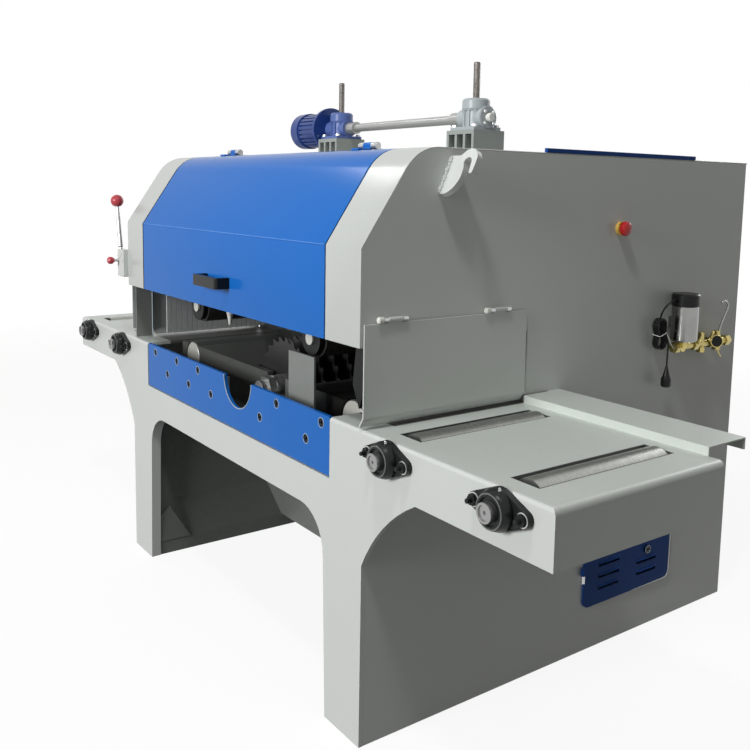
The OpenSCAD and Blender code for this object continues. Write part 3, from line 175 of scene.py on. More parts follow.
hank = hank_line(np.linspace(0, HANK_LOOPS + 0.199, 320))
tail_x = hank[-1][0]
lead = [(0.778, 1.075, 1.020), (0.778, 1.068, 1.020), (0.775, 1.060, 1.0165), (0.768, 1.055, 1.006),
    (0.758, 1.0535, 0.992), (0.749, 1.055, 0.976), (0.7435, 1.0578, 0.962), (0.742, 1.0593, 0.955),
    hank[0]]
tail = [hank[-1], (tail_x, 1.0725, 0.8935), (tail_x, 1.074, 0.884), (tail_x, 1.074, 0.872),
    (tail_x, 1.073, 0.856), (tail_x, 1.0725, 0.840), (tail_x, 1.0725, 0.828), (tail_x, 1.0725, 0.822)]
route = placed(*np.vstack([smooth_path(lead)[:-1], hank, smooth_path(tail)[1:]]))
cord = tube("pump_cord", route, CORD_D / 2)
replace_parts(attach(cord, "frame"), "cord_free", "cord_hank")

# %% Tie of the hank
turn = np.linspace(0, 2 * math.pi, 40, endpoint=False)
waist_side = HANK_WAIST * HANK_HALF + CORD_D / 2 + 0.0012
# A rounded square: the root of the cosine's and the sine's size, with their signs
square_out = np.sign(np.cos(turn)) * np.abs(np.cos(turn)) ** 0.5
square_side = np.sign(np.sin(turn)) * np.abs(np.sin(turn)) ** 0.5
waist_layer = HANK_LOOPS / 2 + (HANK_LOOPS / 2 + 0.65) * square_out
band = hung(waist_layer, waist_side * square_side, 0.002 * np.sin(turn * 2))
tie_band = tube("tie_band", band + (0, FRONT_Y, 0), 0.0011, 8, lean=(0.1, 0.2, 1), closed=True)
wire = [(0.766, 1.062, 0.921), (0.772, 1.066, 0.905), (0.775, 1.074, 0.888), (0.774, 1.086, 0.877),
    (0.770, 1.097, 0.874)]
tie_wire = tube("tie_wire", placed(*smooth_path(wire)), 0.0011, 8)
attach(tie_band, "frame")
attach(tie_wire, "frame")
print("tie", len(tie_band.data.polygons) + len(tie_wire.data.polygons), "faces")


# %% [markdown]
# ## Effects that several finishes share
# Paint, metal and rubber differ in colour and gloss, but the same few effects break up each surface:
# clouds of tone, a fine orange-peel skin, dust that settles, and drawn or turned streaks. Each effect is
# one node group with its own inputs, and every material places it with its own values.

# %% Node group helper
def new_group(name, inputs, outputs):
    """An empty shader group with its sockets; returns its tree, its inputs and its outputs."""
    tree = bpy.data.node_groups.new(name, "ShaderNodeTree")
    for label, kind, value in inputs:
        socket = tree.interface.new_socket(label, in_out="INPUT", socket_type="NodeSocket" + kind)
        socket.default_value = value
    for label, kind in outputs:
        tree.interface.new_socket(label, in_out="OUTPUT", socket_type="NodeSocket" + kind)
    return tree, tree.nodes.new("NodeGroupInput"), tree.nodes.new("NodeGroupOutput")


def add(tree, kind, **values):
    """A node with its settings; names that match input sockets are set there instead."""
    node = tree.nodes.new("ShaderNode" + kind)
    for key, value in values.items():
        label = key.replace("_", " ").title()
        if hasattr(node, key):
            setattr(node, key, value)
        else:
            node.inputs[label].default_value = value
    return node


def math_node(tree, operation, a, b=0.0, clamp=False):
    """One arithmetic step whose inputs are numbers or sockets."""
    node = tree.nodes.new("ShaderNodeMath")
    node.operation = operation
    node.use_clamp = clamp
    for socket, value in zip(node.inputs, (a, b)):
        if isinstance(value, (int, float)):
            socket.default_value = value
        else:
            tree.links.new(value, socket)
    return node.outputs[0]


def mix_colour(tree, factor, a, b, blend="MIX"):
    """Mixes two colours; each input is a socket or a colour."""
    node = tree.nodes.new("ShaderNodeMix")
    node.data_type = "RGBA"
    node.blend_type = blend
    for socket, value in ((node.inputs[0], factor), (node.inputs[6], a), (node.inputs[7], b)):
        if isinstance(value, (int, float, tuple)):
            socket.default_value = value
        else:
            tree.links.new(value, socket)
    return node.outputs[2]


# %% Group: skin of paint, clouds and dust
SKIN = [("Color", "Color"), ("Roughness", "Float"), ("Height", "Float")]
PAINT = [
    ("Color", "Color", (0.8, 0.8, 0.8, 1)),
    ("Dust Color", "Color", (0.55, 0.5, 0.42, 1)),
    ("Cloud", "Float", 0.08),
    ("Dust", "Float", 0.1),
    ("Rough", "Float", 0.35),
    ("Grain", "Float", 0.2),
]
tree, given, out = new_group("paint_skin", PAINT, SKIN)
place = add(tree, "TexCoord")
clouds = add(tree, "TexNoise", scale=3.2, detail=4.0, roughness=0.55)
specks = add(tree, "TexNoise", scale=70.0, detail=5.0, roughness=0.6)
peel = add(tree, "TexNoise", scale=420.0, detail=2.0)
for texture in (clouds, specks, peel):
    tree.links.new(place.outputs["Object"], texture.inputs["Vector"])
cloudy = math_node(tree, "SUBTRACT", clouds.outputs[0], 0.5)
tone = math_node(tree, "MULTIPLY", cloudy, given.outputs["Cloud"])
shade = add(tree, "HueSaturation")
tree.links.new(math_node(tree, "ADD", tone, 1.0), shade.inputs["Value"])
tree.links.new(given.outputs["Color"], shade.inputs["Color"])
patches = math_node(tree, "MULTIPLY", specks.outputs[0], clouds.outputs[0])
settled = math_node(tree, "MULTIPLY", patches, given.outputs["Dust"], clamp=True)
dusty = mix_colour(tree, settled, shade.outputs[0], given.outputs["Dust Color"])
tree.links.new(dusty, out.inputs["Color"])
speckle = math_node(tree, "SUBTRACT", specks.outputs[0], 0.45)
grain = math_node(tree, "MULTIPLY", speckle, given.outputs["Grain"])
tree.links.new(math_node(tree, "ADD", given.outputs["Rough"], grain), out.inputs["Roughness"])
tree.links.new(peel.outputs[0], out.inputs["Height"])
print("group", tree.name)

# %% [markdown]
# Turned and drawn metal keeps the marks of the tool. A noise that is stretched along the piece gives them,
# and a second one, not stretched, lays oil and rust stains over them. Both follow the solid, so they stay
# in place when the piece turns.

# %% Group: drawn streaks of machined metal
METAL = [
    ("Color", "Color", (0.7, 0.7, 0.72, 1)),
    ("Stain Color", "Color", (0.32, 0.27, 0.23, 1)),
    ("Stretch", "Vector", (40, 2, 40)),
    ("Stain", "Float", 0.2),
    ("Rough", "Float", 0.3),
]
tree, given, out = new_group("drawn_streaks", METAL, SKIN)
place = add(tree, "TexCoord")
scaled = add(tree, "VectorMath", operation="MULTIPLY")
tree.links.new(place.outputs["Object"], scaled.inputs[0])
tree.links.new(given.outputs["Stretch"], scaled.inputs[1])
streaks = add(tree, "TexNoise", scale=10.0, detail=6.0, roughness=0.65)
tree.links.new(scaled.outputs[0], streaks.inputs["Vector"])
blots = add(tree, "TexNoise", scale=14.0, detail=5.0, roughness=0.6)
tree.links.new(place.outputs["Object"], blots.inputs["Vector"])
blotted = math_node(tree, "POWER", blots.outputs[0], 1.5)
stained = math_node(tree, "MULTIPLY", blotted, given.outputs["Stain"], clamp=True)
worn_metal = mix_colour(tree, stained, given.outputs["Color"], given.outputs["Stain Color"])
tree.links.new(worn_metal, out.inputs["Color"])
tool_marks = math_node(tree, "SUBTRACT", streaks.outputs[0], 0.5)
dulled = math_node(tree, "MULTIPLY", tool_marks, 0.4)
tree.links.new(math_node(tree, "ADD", given.outputs["Rough"], dulled), out.inputs["Roughness"])
tree.links.new(streaks.outputs[0], out.inputs["Height"])
print("groups", [g.name for g in bpy.data.node_groups])


# %% [markdown]
# ## Finishes
# The frame is sprayed light grey, the hood and covers gloss blue, the jack motor dark blue. Castings are
# black, rollers and shafts bright, the pump polished, and the chamber dark and dusty. Colours are given
# as they look on the machine and turned into the linear values that shaders use.

# %% Material makers
def linear(r, g, b):
    """Turns a colour of 0 to 255 as seen on screen into linear light."""
    c = np.array([r, g, b]) / 255
    return (*np.where(c <= 0.04045, c / 12.92, ((c + 0.055) / 1.055) ** 2.4).tolist(), 1.0)


def finish(name, group, metallic=0.0, coat=0.0, bump=0.1, depth=0.0004, specular=0.5, **values):
    """A Principled material whose colour, roughness and bump come from one placed group."""
    material = bpy.data.materials.new(name)
    material.use_nodes = True
    tree = material.node_tree
    shader = tree.nodes["Principled BSDF"]
    effect = tree.nodes.new("ShaderNodeGroup")
    effect.node_tree = bpy.data.node_groups[group]
    for label, value in values.items():
        effect.inputs[label.replace("_", " ").title()].default_value = value
    height = add(tree, "Bump", strength=bump, distance=depth)
    tree.links.new(effect.outputs["Height"], height.inputs["Height"])
    tree.links.new(effect.outputs["Color"], shader.inputs["Base Color"])
    tree.links.new(effect.outputs["Roughness"], shader.inputs["Roughness"])
    tree.links.new(height.outputs[0], shader.inputs["Normal"])
    shader.inputs["Metallic"].default_value = metallic
    shader.inputs["Coat Weight"].default_value = coat
    shader.inputs["Specular IOR Level"].default_value = specular
    return material


# %% Grey paints
soot = linear(71, 72, 69)
grey_paint = finish("grey_paint", "paint_skin", color=linear(208, 212, 209),
    dust_color=linear(170, 166, 155), cloud=0.06, dust=0.05, rough=0.36, grain=0.1, bump=0.03,
    specular=0.35)
table_paint = finish("table_paint", "paint_skin", color=linear(206, 213, 207),
    dust_color=linear(165, 160, 148), cloud=0.10, dust=0.18, rough=0.36, grain=0.2, bump=0.04,
    specular=0.4)
chamber_paint = finish("chamber_paint", "paint_skin", color=linear(120, 124, 121), dust_color=soot,
    cloud=0.5, dust=0.6, rough=0.55, specular=0.25)
bracket_paint = finish("bracket_paint", "paint_skin", color=linear(154, 160, 157),
    dust_color=linear(110, 110, 104), cloud=0.15, dust=0.2, rough=0.42, bump=0.08, specular=0.3)
gear_paint = finish("gear_paint", "paint_skin", color=linear(172, 180, 184),
    dust_color=linear(110, 110, 108), cloud=0.2, dust=0.2, rough=0.34, bump=0.12, specular=0.45)
print("grey paints", len(bpy.data.materials))

# %% Blue paints, and the paint of the strips, flap and post
blue_gloss = finish("blue_gloss", "paint_skin", color=linear(26, 105, 191),
    dust_color=linear(80, 130, 200), cloud=0.05, dust=0.02, rough=0.2, grain=0.04, bump=0.01,
    specular=0.09)
# The strips' grey is a little darker than the frame's, as painted shade of their sloped faces
strip_grey_with_painted_shade = finish("strip_grey_with_painted_shade", "paint_skin", color=linear(190, 194, 191),
    dust_color=linear(165, 162, 152), cloud=0.06, dust=0.05, rough=0.26, grain=0.06, bump=0.02,
    specular=0.45)
# The outfeed flap and post take copies of the frame's grey, which carry painted shade below
flap_grey_with_painted_shade = finish("flap_grey_with_painted_shade", "paint_skin", color=linear(208, 213, 208),
    dust_color=linear(170, 166, 155), cloud=0.06, dust=0.08, rough=0.36, grain=0.1, bump=0.03,
    specular=0.35)
post_grey_with_painted_shade = finish("post_grey_with_painted_shade", "paint_skin", color=linear(208, 212, 209),
    dust_color=linear(170, 166, 155), cloud=0.06, dust=0.05, rough=0.36, grain=0.1, bump=0.03,
    specular=0.35)
# A pale paint for worn rims and bright edges: partly bare edge, partly painted highlight
edge_wear_and_painted_highlight = finish("edge_wear_and_painted_highlight", "paint_skin", color=linear(170, 186, 196), cloud=0.1, dust=0.1,
    rough=0.35, specular=0.4)
seal_paint = finish("seal_paint", "paint_skin", color=linear(104, 110, 107), cloud=0.3, dust=0.2,
    rough=0.35, specular=0.3)
crease_painted_highlight = finish("crease_painted_highlight", "paint_skin", color=linear(98, 152, 228),
    dust_color=linear(90, 140, 210), cloud=0.3, dust=0.3, rough=0.45, specular=0.05)
gear_blue = finish("gear_blue", "paint_skin", color=linear(88, 110, 172),
    dust_color=linear(120, 130, 150), cloud=0.2, dust=0.2, rough=0.3, bump=0.1, specular=0.3)
print("with the blue paints", len(bpy.data.materials))

# %% Dark blues, dark steel, castings and mouldings
bed_steel = finish("bed_steel", "drawn_streaks", metallic=0.2, color=linear(100, 102, 99),
    stain_color=soot, stretch=(3, 50, 20), stain=0.5, rough=0.36)
vent_gloss = finish("vent_gloss", "paint_skin", color=linear(34, 74, 144),
    dust_color=linear(60, 80, 120), cloud=0.1, dust=0.08, rough=0.3, grain=0.08, bump=0.02,
    specular=0.04)
navy_gloss = finish("navy_gloss", "paint_skin", color=linear(32, 62, 132),
    dust_color=linear(90, 105, 150), cloud=0.12, dust=0.1, rough=0.22, bump=0.06, specular=0.35)
dark_steel = finish("dark_steel", "paint_skin", color=linear(50, 51, 52), dust_color=soot, cloud=0.5,
    dust=0.3, rough=0.42, bump=0.2, specular=0.3)
black_steel = finish("black_steel", "paint_skin", color=linear(20, 21, 22),
    dust_color=linear(50, 49, 47), cloud=0.5, dust=0.3, rough=0.5, bump=0.2, specular=0.2)
black_casting = finish("black_casting", "paint_skin", color=linear(22, 27, 26),
    dust_color=linear(80, 84, 80), cloud=0.3, dust=0.15, rough=0.3, bump=0.35, depth=0.0008,
    specular=0.22)
black_moulded = finish("black_moulded", "paint_skin", color=linear(16, 18, 18),
    dust_color=linear(80, 78, 74), cloud=0.2, dust=0.08, rough=0.3, bump=0.1, specular=0.2)
red_moulded = finish("red_moulded", "paint_skin", color=linear(206, 26, 28),
    dust_color=linear(200, 90, 80), cloud=0.05, dust=0.06, rough=0.25, bump=0.02, specular=0.4)
pale_collar = finish("pale_collar", "paint_skin", color=linear(240, 196, 92),
    dust_color=linear(180, 150, 90), cloud=0.05, dust=0.1, rough=0.35)
print("with the dark finishes", len(bpy.data.materials))

# %% Bright metals
bright_steel = finish("bright_steel", "drawn_streaks", metallic=0.85, color=linear(196, 197, 198),
    stretch=(3, 60, 3), stain=0.15, rough=0.3)
shaft_steel = finish("shaft_steel", "drawn_streaks", metallic=0.6, color=linear(176, 177, 176),
    stain_color=linear(120, 118, 112), stretch=(3, 60, 60), stain=0.3, rough=0.34)
slat_steel = finish("slat_steel", "drawn_streaks", metallic=0.1, color=linear(222, 226, 226),
    stain_color=linear(120, 122, 122), stretch=(4, 60, 3), stain=0.5, rough=0.5)
# The blades' steel is made near black as painted shade of the dim chamber
blade_steel = finish("blade_steel", "drawn_streaks", metallic=0.5, color=linear(52, 52, 54),
    stain_color=linear(34, 32, 30), stretch=(20, 20, 20), stain=0.9, rough=0.42)
roller_steel = finish("roller_steel", "drawn_streaks", metallic=0.85, color=linear(160, 163, 157),
    stain_color=linear(90, 91, 84), stretch=(4, 60, 4), stain=0.6, rough=0.3, bump=0.15)
screw_steel = finish("screw_steel", "drawn_streaks", metallic=0.9, color=linear(96, 94, 92),
    stretch=(2, 2, 220), stain=0.4, rough=0.34, bump=0.6, depth=0.0015)
# The polished steel is darker than bare chrome and streaked up and down: painted reflection of dark
# surroundings, as well as drawn marks
polished_steel = finish("polished_steel", "drawn_streaks", metallic=1.0, color=linear(150, 150, 148),
    stain_color=linear(58, 58, 56), stretch=(30, 30, 1), stain=0.4, rough=0.17)
machined_brass = finish("machined_brass", "drawn_streaks", metallic=0.85, color=linear(232, 216, 142),
    stain_color=linear(88, 72, 14), stretch=(8, 40, 8), stain=1.3, rough=0.24, bump=0.2, depth=0.001)
white_wire = finish("white_wire", "paint_skin", color=linear(232, 232, 226), cloud=0.04, dust=0.05,
    rough=0.4)
print("materials", len(bpy.data.materials))

# %% [markdown]
# ## Finishes on the solids
# Every solid keeps its shape and takes one of the finishes above. A list of names for each finish is
# easier to read and to change than a line for each solid.

# %% Finishes on the solids
worn = {
    grey_paint: "front_plate end_plate_right back_panel roof_panel flap_right lever_bracket lifting_hooks",
    strip_grey_with_painted_shade: "hood_strips",
    flap_grey_with_painted_shade: "flap_left",
    post_grey_with_painted_shade: "end_plate_left",
    table_paint: "table_right table_left fences",
    chamber_paint: "chamber_wall inner_plates arbor_housing",
    bracket_paint: "jack_brackets",
    gear_paint: "jack_gearbox_right",
    blue_gloss: "arbor_panel front_door top_cover",
    vent_gloss: "vent_door",
    gear_blue: "jack_gearbox_left",
    navy_gloss: "jack_motor main_motor",
    dark_steel: "motor_pulley",
    bed_steel: "bed_plate",
    black_steel: "fasteners press_frame kickback_fingers drive_belts press_roller_right press_roller_left",
    slat_steel: "cross_rods",
    blade_steel: "saw_blades",
    black_casting: "bearing_housings",
    black_moulded: "door_handle pump_cap mains_plug vent_lock",
    red_moulded: "estop_button lock_pin",
    pale_collar: "estop_base",
    bright_steel: "hinge_mounts guide_columns saw_arbor arbor_collars feed_lever feed_roller_right "
                  "feed_roller_left",
    shaft_steel: "cross_shaft",
    roller_steel: "table_roller_1 table_roller_2 table_roller_3 table_roller_4",
    screw_steel: "jack_screws",
    polished_steel: "pump_can",
    machined_brass: "brass_manifold",
}
for material, names in worn.items():
    for name in names.split():
        solid = nodes[name]
        solid.data.materials.clear()
        solid.data.materials.append(material)
print("finishes", len(worn), "on", sum(len(names.split()) for names in worn.values()), "solids")

# %% [markdown]
# ## Softened edges
# Folded sheet and sprayed plate have no sharp edges: a thin line of light runs along each of them. A
# bevel gives that line without touching the solid's mesh. The solids are loose triangles, so their points
# are welded first, and the normals are weighted by area so that the flat faces stay flat.

# %% Softened edges
soft_edges = {
    0.006: "table_right table_left",
    0.002: "front_plate end_plate_right end_plate_left roof_panel jack_brackets lifting_hooks "
           "lever_bracket bearing_housings",
    0.0012: "front_door hood_strips flap_right flap_left fences top_cover door_handle hinge_mounts",
}
for width, names in soft_edges.items():
    for name in names.split():
        weld = nodes[name].modifiers.new("weld", "WELD")
        weld.merge_threshold = 0.00001
        edge = nodes[name].modifiers.new("soft_edge", "BEVEL")
        edge.width = width
        edge.segments = 2
        edge.limit_method = "ANGLE"
        edge.angle_limit = math.radians(35)
        level = nodes[name].modifiers.new("flat_faces", "WEIGHTED_NORMAL")
        level.mode = "FACE_AREA"
        level.weight = 100
for piece, material in ((cord, black_moulded), (tie_band, white_wire), (tie_wire, white_wire)):
    piece.data.materials.append(material)
print("softened", sum(len(names.split()) for names in soft_edges.values()), "solids")


# %% [markdown]
# ## Shaded places
# Some solids change colour from place to place. Most of it is painted shade: black on the strips where the
# door closes on them, grey on the insides of the outfeed post and flap, on the tables under the hood and on
# the bed, and dark round the slots in the tables. A mask made of steps along the axes lays a second colour
# over the finish there.

# %% Shaded places
def shaded(material, colour, absolute=False, share=1.0, **spans):
    """Lays a colour over a finish inside a box: the mask multiplies, for each axis given, one step up at
    the low end and one step down at the high end. The share is how much of the finish it covers."""
    tree = material.node_tree
    shader = tree.nodes["Principled BSDF"]
    place = add(tree, "TexCoord")
    parts = add(tree, "SeparateXYZ")
    tree.links.new(place.outputs["Object"], parts.inputs[0])
    mask = share
    for axis, (low_end, high_end) in spans.items():
        value = parts.outputs["xyz".index(axis)]
        if absolute and axis == "x":
            value = math_node(tree, "ABSOLUTE", value)
        past_low = math_node(tree, "GREATER_THAN", value, low_end)
        inside = math_node(tree, "MULTIPLY", past_low, math_node(tree, "LESS_THAN", value, high_end))
        mask = math_node(tree, "MULTIPLY", inside, mask)
    clean = shader.inputs["Base Color"].links[0].from_socket
    tree.links.new(mix_colour(tree, mask, clean, colour), shader.inputs["Base Color"])


# Painted shade: black in the gap beside the door, grey on the insides of the outfeed flap and post
shaded(strip_grey_with_painted_shade, linear(16, 17, 18), absolute=True, x=(0.0, 0.5868))
shaded(flap_grey_with_painted_shade, linear(176, 180, 180), x=(-0.7354, -0.6))
shaded(post_grey_with_painted_shade, linear(138, 140, 138), z=(0.781, 0.970), y=(FRONT_Y - 0.01, FRONT_Y + 0.075))
shaded(roller_steel, linear(158, 159, 158), y=(FRONT_Y - 0.1, FRONT_Y + 0.01))
# Painted shade on the tables' inner ends under the hood
shaded(table_paint, linear(100, 100, 97), absolute=True, x=(0.5, 0.7385),
    y=(FRONT_Y + 0.085, FRONT_Y + 0.6))
# Painted shade on the bed plate past the shield
shaded(bed_steel, linear(30, 29, 28), x=(0.37, 0.8))
shaded(chamber_paint, linear(150, 154, 151), share=0.55, x=(0.270, 0.406),
    y=(FRONT_Y + 0.069, FRONT_Y + 0.077), z=(0.690, 0.889))
ROLLER_MIDDLES = (0.835, 1.190)
# Painted shade in the roller slots of the tables
for middle in ROLLER_MIDDLES:
    shaded(table_paint, linear(72, 74, 72), absolute=True, x=(middle - 0.039, middle + 0.039),
        y=(FRONT_Y + 0.0555, FRONT_Y + 0.4655))
print("shaded places round rollers at", ROLLER_MIDDLES)

# %% [markdown]
# ## Two finishes on one solid
# The lever is a bright rod with a red ball, the pull pin a steel plunger with a red knob, and a press
# roller a rubber drum on a pale shaft. Each is one solid, so its material changes over at a place that
# is measured along one axis of the solid.

# %% Split finishes
def split_finish(name, axis, at, above, below):
    """Above and below are (colour, roughness, metallic); the mask is one past the place at."""
    material = bpy.data.materials.new(name)
    material.use_nodes = True
    tree = material.node_tree
    shader = tree.nodes["Principled BSDF"]
    place = add(tree, "TexCoord")
    parts = add(tree, "SeparateXYZ")
    tree.links.new(place.outputs["Object"], parts.inputs[0])
    mask = math_node(tree, "GREATER_THAN", parts.outputs[axis], at)
    grain = add(tree, "TexNoise", scale=60.0, detail=4.0)
    tree.links.new(place.outputs["Object"], grain.inputs["Vector"])
    plain = mix_colour(tree, mask, below[0], above[0])
    dull = mix_colour(tree, math_node(tree, "MULTIPLY", grain.outputs[0], 0.25), plain,
        (0.2, 0.18, 0.16, 1))
    tree.links.new(dull, shader.inputs["Base Color"])
    for label, start, end in (("Roughness", below[1], above[1]), ("Metallic", below[2], above[2])):
        step = math_node(tree, "MULTIPLY", mask, end - start)
        tree.links.new(math_node(tree, "ADD", step, start), shader.inputs[label])
    return material


STEEL = (linear(205, 206, 206), 0.28, 0.85)
RED = (linear(196, 44, 62), 0.3, 0.0)
DRUM = (linear(118, 124, 124), 0.42, 0.5)
RUBBER = (linear(18, 18, 18), 0.6, 0.0)
PALE = (linear(214, 214, 206), 0.45, 0.2)
splits = {
    "feed_lever": split_finish("lever_rod_and_ball", 2, 1.2515, RED, STEEL),
    "lock_pin": split_finish("pin_and_knob", 1, FRONT_Y - 0.047, STEEL, RED),
    "press_roller_right": split_finish("rubber_drum", 1, FRONT_Y + 0.090, RUBBER, PALE),
    "feed_roller_right": split_finish("feed_drum", 1, FRONT_Y + 0.1315, DRUM, PALE),
}
splits["press_roller_left"] = splits["press_roller_right"]
splits["feed_roller_left"] = splits["feed_roller_right"]
for name, material in splits.items():
    nodes[name].data.materials.clear()
    nodes[name].data.materials.append(material)
print("split finishes on", sorted(splits))


# %% [markdown]
# ## Small fittings
# Bolt heads on the gearbox feet, grease nipples on the bearings and weld beads on the lifting hooks are
# too small to carry load in the model, but the eye looks for them. The bolts and nipples are turned
# profiles, gathered into one mesh for each kind, and each weld bead is a rippled tube.

# %% Turned profiles and gathered grids
def gathered(name, grids, closed=True):
    """Several grids as one mesh: each grid's faces are shifted past the others. Doubled points on seams
    and poles are merged, and the faces of closed shapes are turned outwards."""
    points, faces, start = [], [], 0
    for grid in grids:
        rows, cols = grid.shape[:2]
        index = start + np.arange(rows * cols).reshape(rows, cols)
        quads = np.stack([index[:-1, :-1], index[:-1, 1:], index[1:, 1:], index[1:, :-1]], -1)
        faces += quads.reshape(-1, 4).tolist()
        points.append(grid.reshape(-1, 3))
        start += rows * cols
    mesh = bpy.data.meshes.new(name)
    mesh.from_pydata(np.vstack(points).tolist(), [], faces)
    work = bmesh.new()
    work.from_mesh(mesh)
    bmesh.ops.remove_doubles(work, verts=work.verts, dist=1e-6)
    if closed:
        bmesh.ops.recalc_face_normals(work, faces=work.faces)
    work.to_mesh(mesh)
    work.free()
    piece = bpy.data.objects.new(name, mesh)
    bpy.context.scene.collection.objects.link(piece)
    return piece


def turned(profile, at, axis, sides=24):
    """A profile of (radius, length) turned about an axis through a point: a grid whose rows are the
    profile's points and whose columns go once round."""
    axis = np.asarray(axis, float) / np.linalg.norm(axis)
    side = np.cross(axis, (0.3, 0.5, 0.81))
    side /= np.linalg.norm(side)
    other = np.cross(axis, side)
    profile = np.asarray(profile, float)
    angle = np.linspace(0, 2 * math.pi, sides + 1)[None, :, None]
    radius, length = profile[:, :1, None], profile[:, 1:, None]
    return np.asarray(at, float) + radius * (np.cos(angle) * side + np.sin(angle) * other) + length * axis


def dressed(piece, body, material):
    """The piece rides on a body and takes its finish."""
    piece.data.materials.append(material)
    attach(piece, body)
    print(piece.name, len(piece.data.polygons), "faces on", body)
    return piece


# %% Bolts on the gearbox feet
PRESS_X, SCREW_Y, FOOT_Z = 0.360, 0.650, 1.514
HEX = [(0.0, 0.007), (0.0075, 0.007), (0.0085, 0.0055), (0.0085, 0.0), (0.0, 0.0)]
corners = [(s * PRESS_X + a * 0.043, SCREW_Y + b * 0.043, FOOT_Z) for s in (-1, 1) for a in (-1, 1)
    for b in (-1, 1)]
heads = [turned(HEX, placed(c)[0], (0, 0, 1), 6) for c in corners]
dressed(gathered("foot_bolts", heads), "frame", bright_steel)

# %% Grease nipples on the flange bearings
NIPPLE = [(0.0, 0.011), (0.0018, 0.0105), (0.0022, 0.009), (0.0014, 0.007), (0.0030, 0.005),
    (0.0030, 0.0), (0.0, 0.0)]
ROLLER_X = (-1.190, -0.835, 0.835, 1.190)
NIPPLE_WAY = (0.35, -0.5, 0.8)
nipples = [turned(NIPPLE, placed((x + 0.012, -0.020, 0.7815))[0], NIPPLE_WAY, 12) for x in ROLLER_X]
dressed(gathered("grease_nipples", nipples), "frame", bright_steel)

# %% Weld beads on the lifting hooks
HOOK_LEAN = math.radians(24)
along = np.linspace(0.003, 0.095, 90)


def hook_bead(name, mirror, face):
    """A bead along one side of a hook's foot: a tube whose radius ripples with each drop of the weld and
    swells in a slower wave."""
    depth = 0.214 + face * math.cos(HOOK_LEAN) + along * math.sin(HOOK_LEAN)
    height = 1.318 - face * math.sin(HOOK_LEAN) + along * math.cos(HOOK_LEAN)
    path = np.stack([np.full_like(along, mirror * 0.7325), depth + FRONT_Y, height], -1)
    drops = 0.20 * np.sin(along * 2 * math.pi / 0.008)
    swells = 0.18 * np.sin(along * 2 * math.pi / 0.023 + face * 300)
    return tube(name, path, 0.0052 * (1 + drops + swells), 10)


for side in (-1, 1):
    for face in (-0.0085, 0.0085):
        bead = hook_bead("hook_bead_%d_%d" % (side + 1, round(face * 1e4) + 100), side, face)
        dressed(bead, "frame", grey_paint)

# %% [markdown]
# ## Flange bearings
# Each table roller runs in a cast flange bearing with two bolts. Close up, the stud stands out of its nut,
# a washer shines under it, and the casting has a raised rim round its free ends. The studs and washers are
# turned profiles, and the rim is a thin tube along the flange's outline, two tangents and an arc.

# %% Studs, washers and cast rims of the bearings
BOLT_OUT, FLANGE, BORE_Z = 0.065, 0.013, 0.742
STUD = [(0.0, 0.012), (0.0040, 0.012), (0.0050, 0.011), (0.0050, 0.0), (0.0, 0.0)]
WASHER = [(0.0125, 0.0), (0.0148, 0.0), (0.0148, 0.0018), (0.0125, 0.0022), (0.0125, 0.0)]
bolts = [placed((x + s * BOLT_OUT, -FLANGE, BORE_Z))[0] for x in ROLLER_X for s in (-1, 1)]
OUT = (0, -1, 0)
studs = [turned(STUD, b + (0, -0.009, 0), OUT, 16) for b in bolts]
washers = [turned(WASHER, b, OUT, 32) for b in bolts]
dressed(gathered("bearing_studs", studs), "frame", black_steel)
dressed(gathered("bearing_washers", washers), "frame", bright_steel)
TANGENT = math.acos((0.042 - 0.016) / BOLT_OUT)
fan = np.linspace(TANGENT, -TANGENT, 17)


def flange_rim(x, s):
    """Outline of a flange's free end: two tangents of the boss and the arc round the bolt between."""
    start_out, start_high = 0.0405 * math.cos(TANGENT), 0.0405 * math.sin(TANGENT)
    out = np.concatenate([[start_out], BOLT_OUT + 0.0145 * np.cos(fan), [start_out]])
    high = np.concatenate([[start_high], 0.0145 * np.sin(fan), [-start_high]])
    return np.stack([x + s * out, np.full_like(out, FRONT_Y - FLANGE), BORE_Z + high], -1)


for number, (x, s) in enumerate([(x, s) for x in ROLLER_X for s in (-1, 1)]):
    rim = tube("flange_rim_%d" % number, flange_rim(x, s), 0.0016, 8, lean=(0, 1, 0))
    dressed(rim, "frame", black_casting)

# %% [markdown]
# ## Bright rims on the blue panel
# Paint wears off the rims of the screw holes and of the notch for the arbor; their pale paint stands for
# the bare edge and is also a painted highlight. Each is a thin raised ring, so it catches the light from
# every side.

# %% Rims of the panel's screw holes and of the arbor notch
PANEL_Y, TABLE_Z = 0.002, 0.780
UPPER = (-0.523, -0.341, -0.177, 0.324, 0.548)
LOWER = (-0.419, -0.247, -0.083, 0.231, 0.476)
RIM = [(0.0116, 0.0), (0.0121, 0.0006), (0.0129, 0.0006), (0.0134, 0.0), (0.0116, 0.0)]
rows = ((UPPER, TABLE_Z - 0.023), (LOWER, TABLE_Z - 0.081))
holes = [placed((x, PANEL_Y, z))[0] for xs, z in rows for x in xs]
dressed(gathered("screw_rims", [turned(RIM, h, OUT, 32) for h in holes]), "frame", edge_wear_and_painted_highlight)
half_turn = np.linspace(math.pi, 2 * math.pi, 49)
NOTCH_X, NOTCH_R = 0.095, 0.0855
notch_across = NOTCH_X + NOTCH_R * np.cos(half_turn)
notch_high = TABLE_Z + NOTCH_R * np.sin(half_turn)
notch_path = np.stack([notch_across, np.full(49, FRONT_Y + PANEL_Y), notch_high], -1)
notch_rim = tube("notch_rim", notch_path, 0.0014, 10, lean=(0, 1, 0))
dressed(notch_rim, "frame", edge_wear_and_painted_highlight)

# %% [markdown]
# ## Gearbox flange and hinge pins
# The free end of the lifting gear is closed by a round flange with four bolts and a pale plug over the
# shaft. The same turned profiles make the heads of the flap hinges' pins and the seals of the bearings.

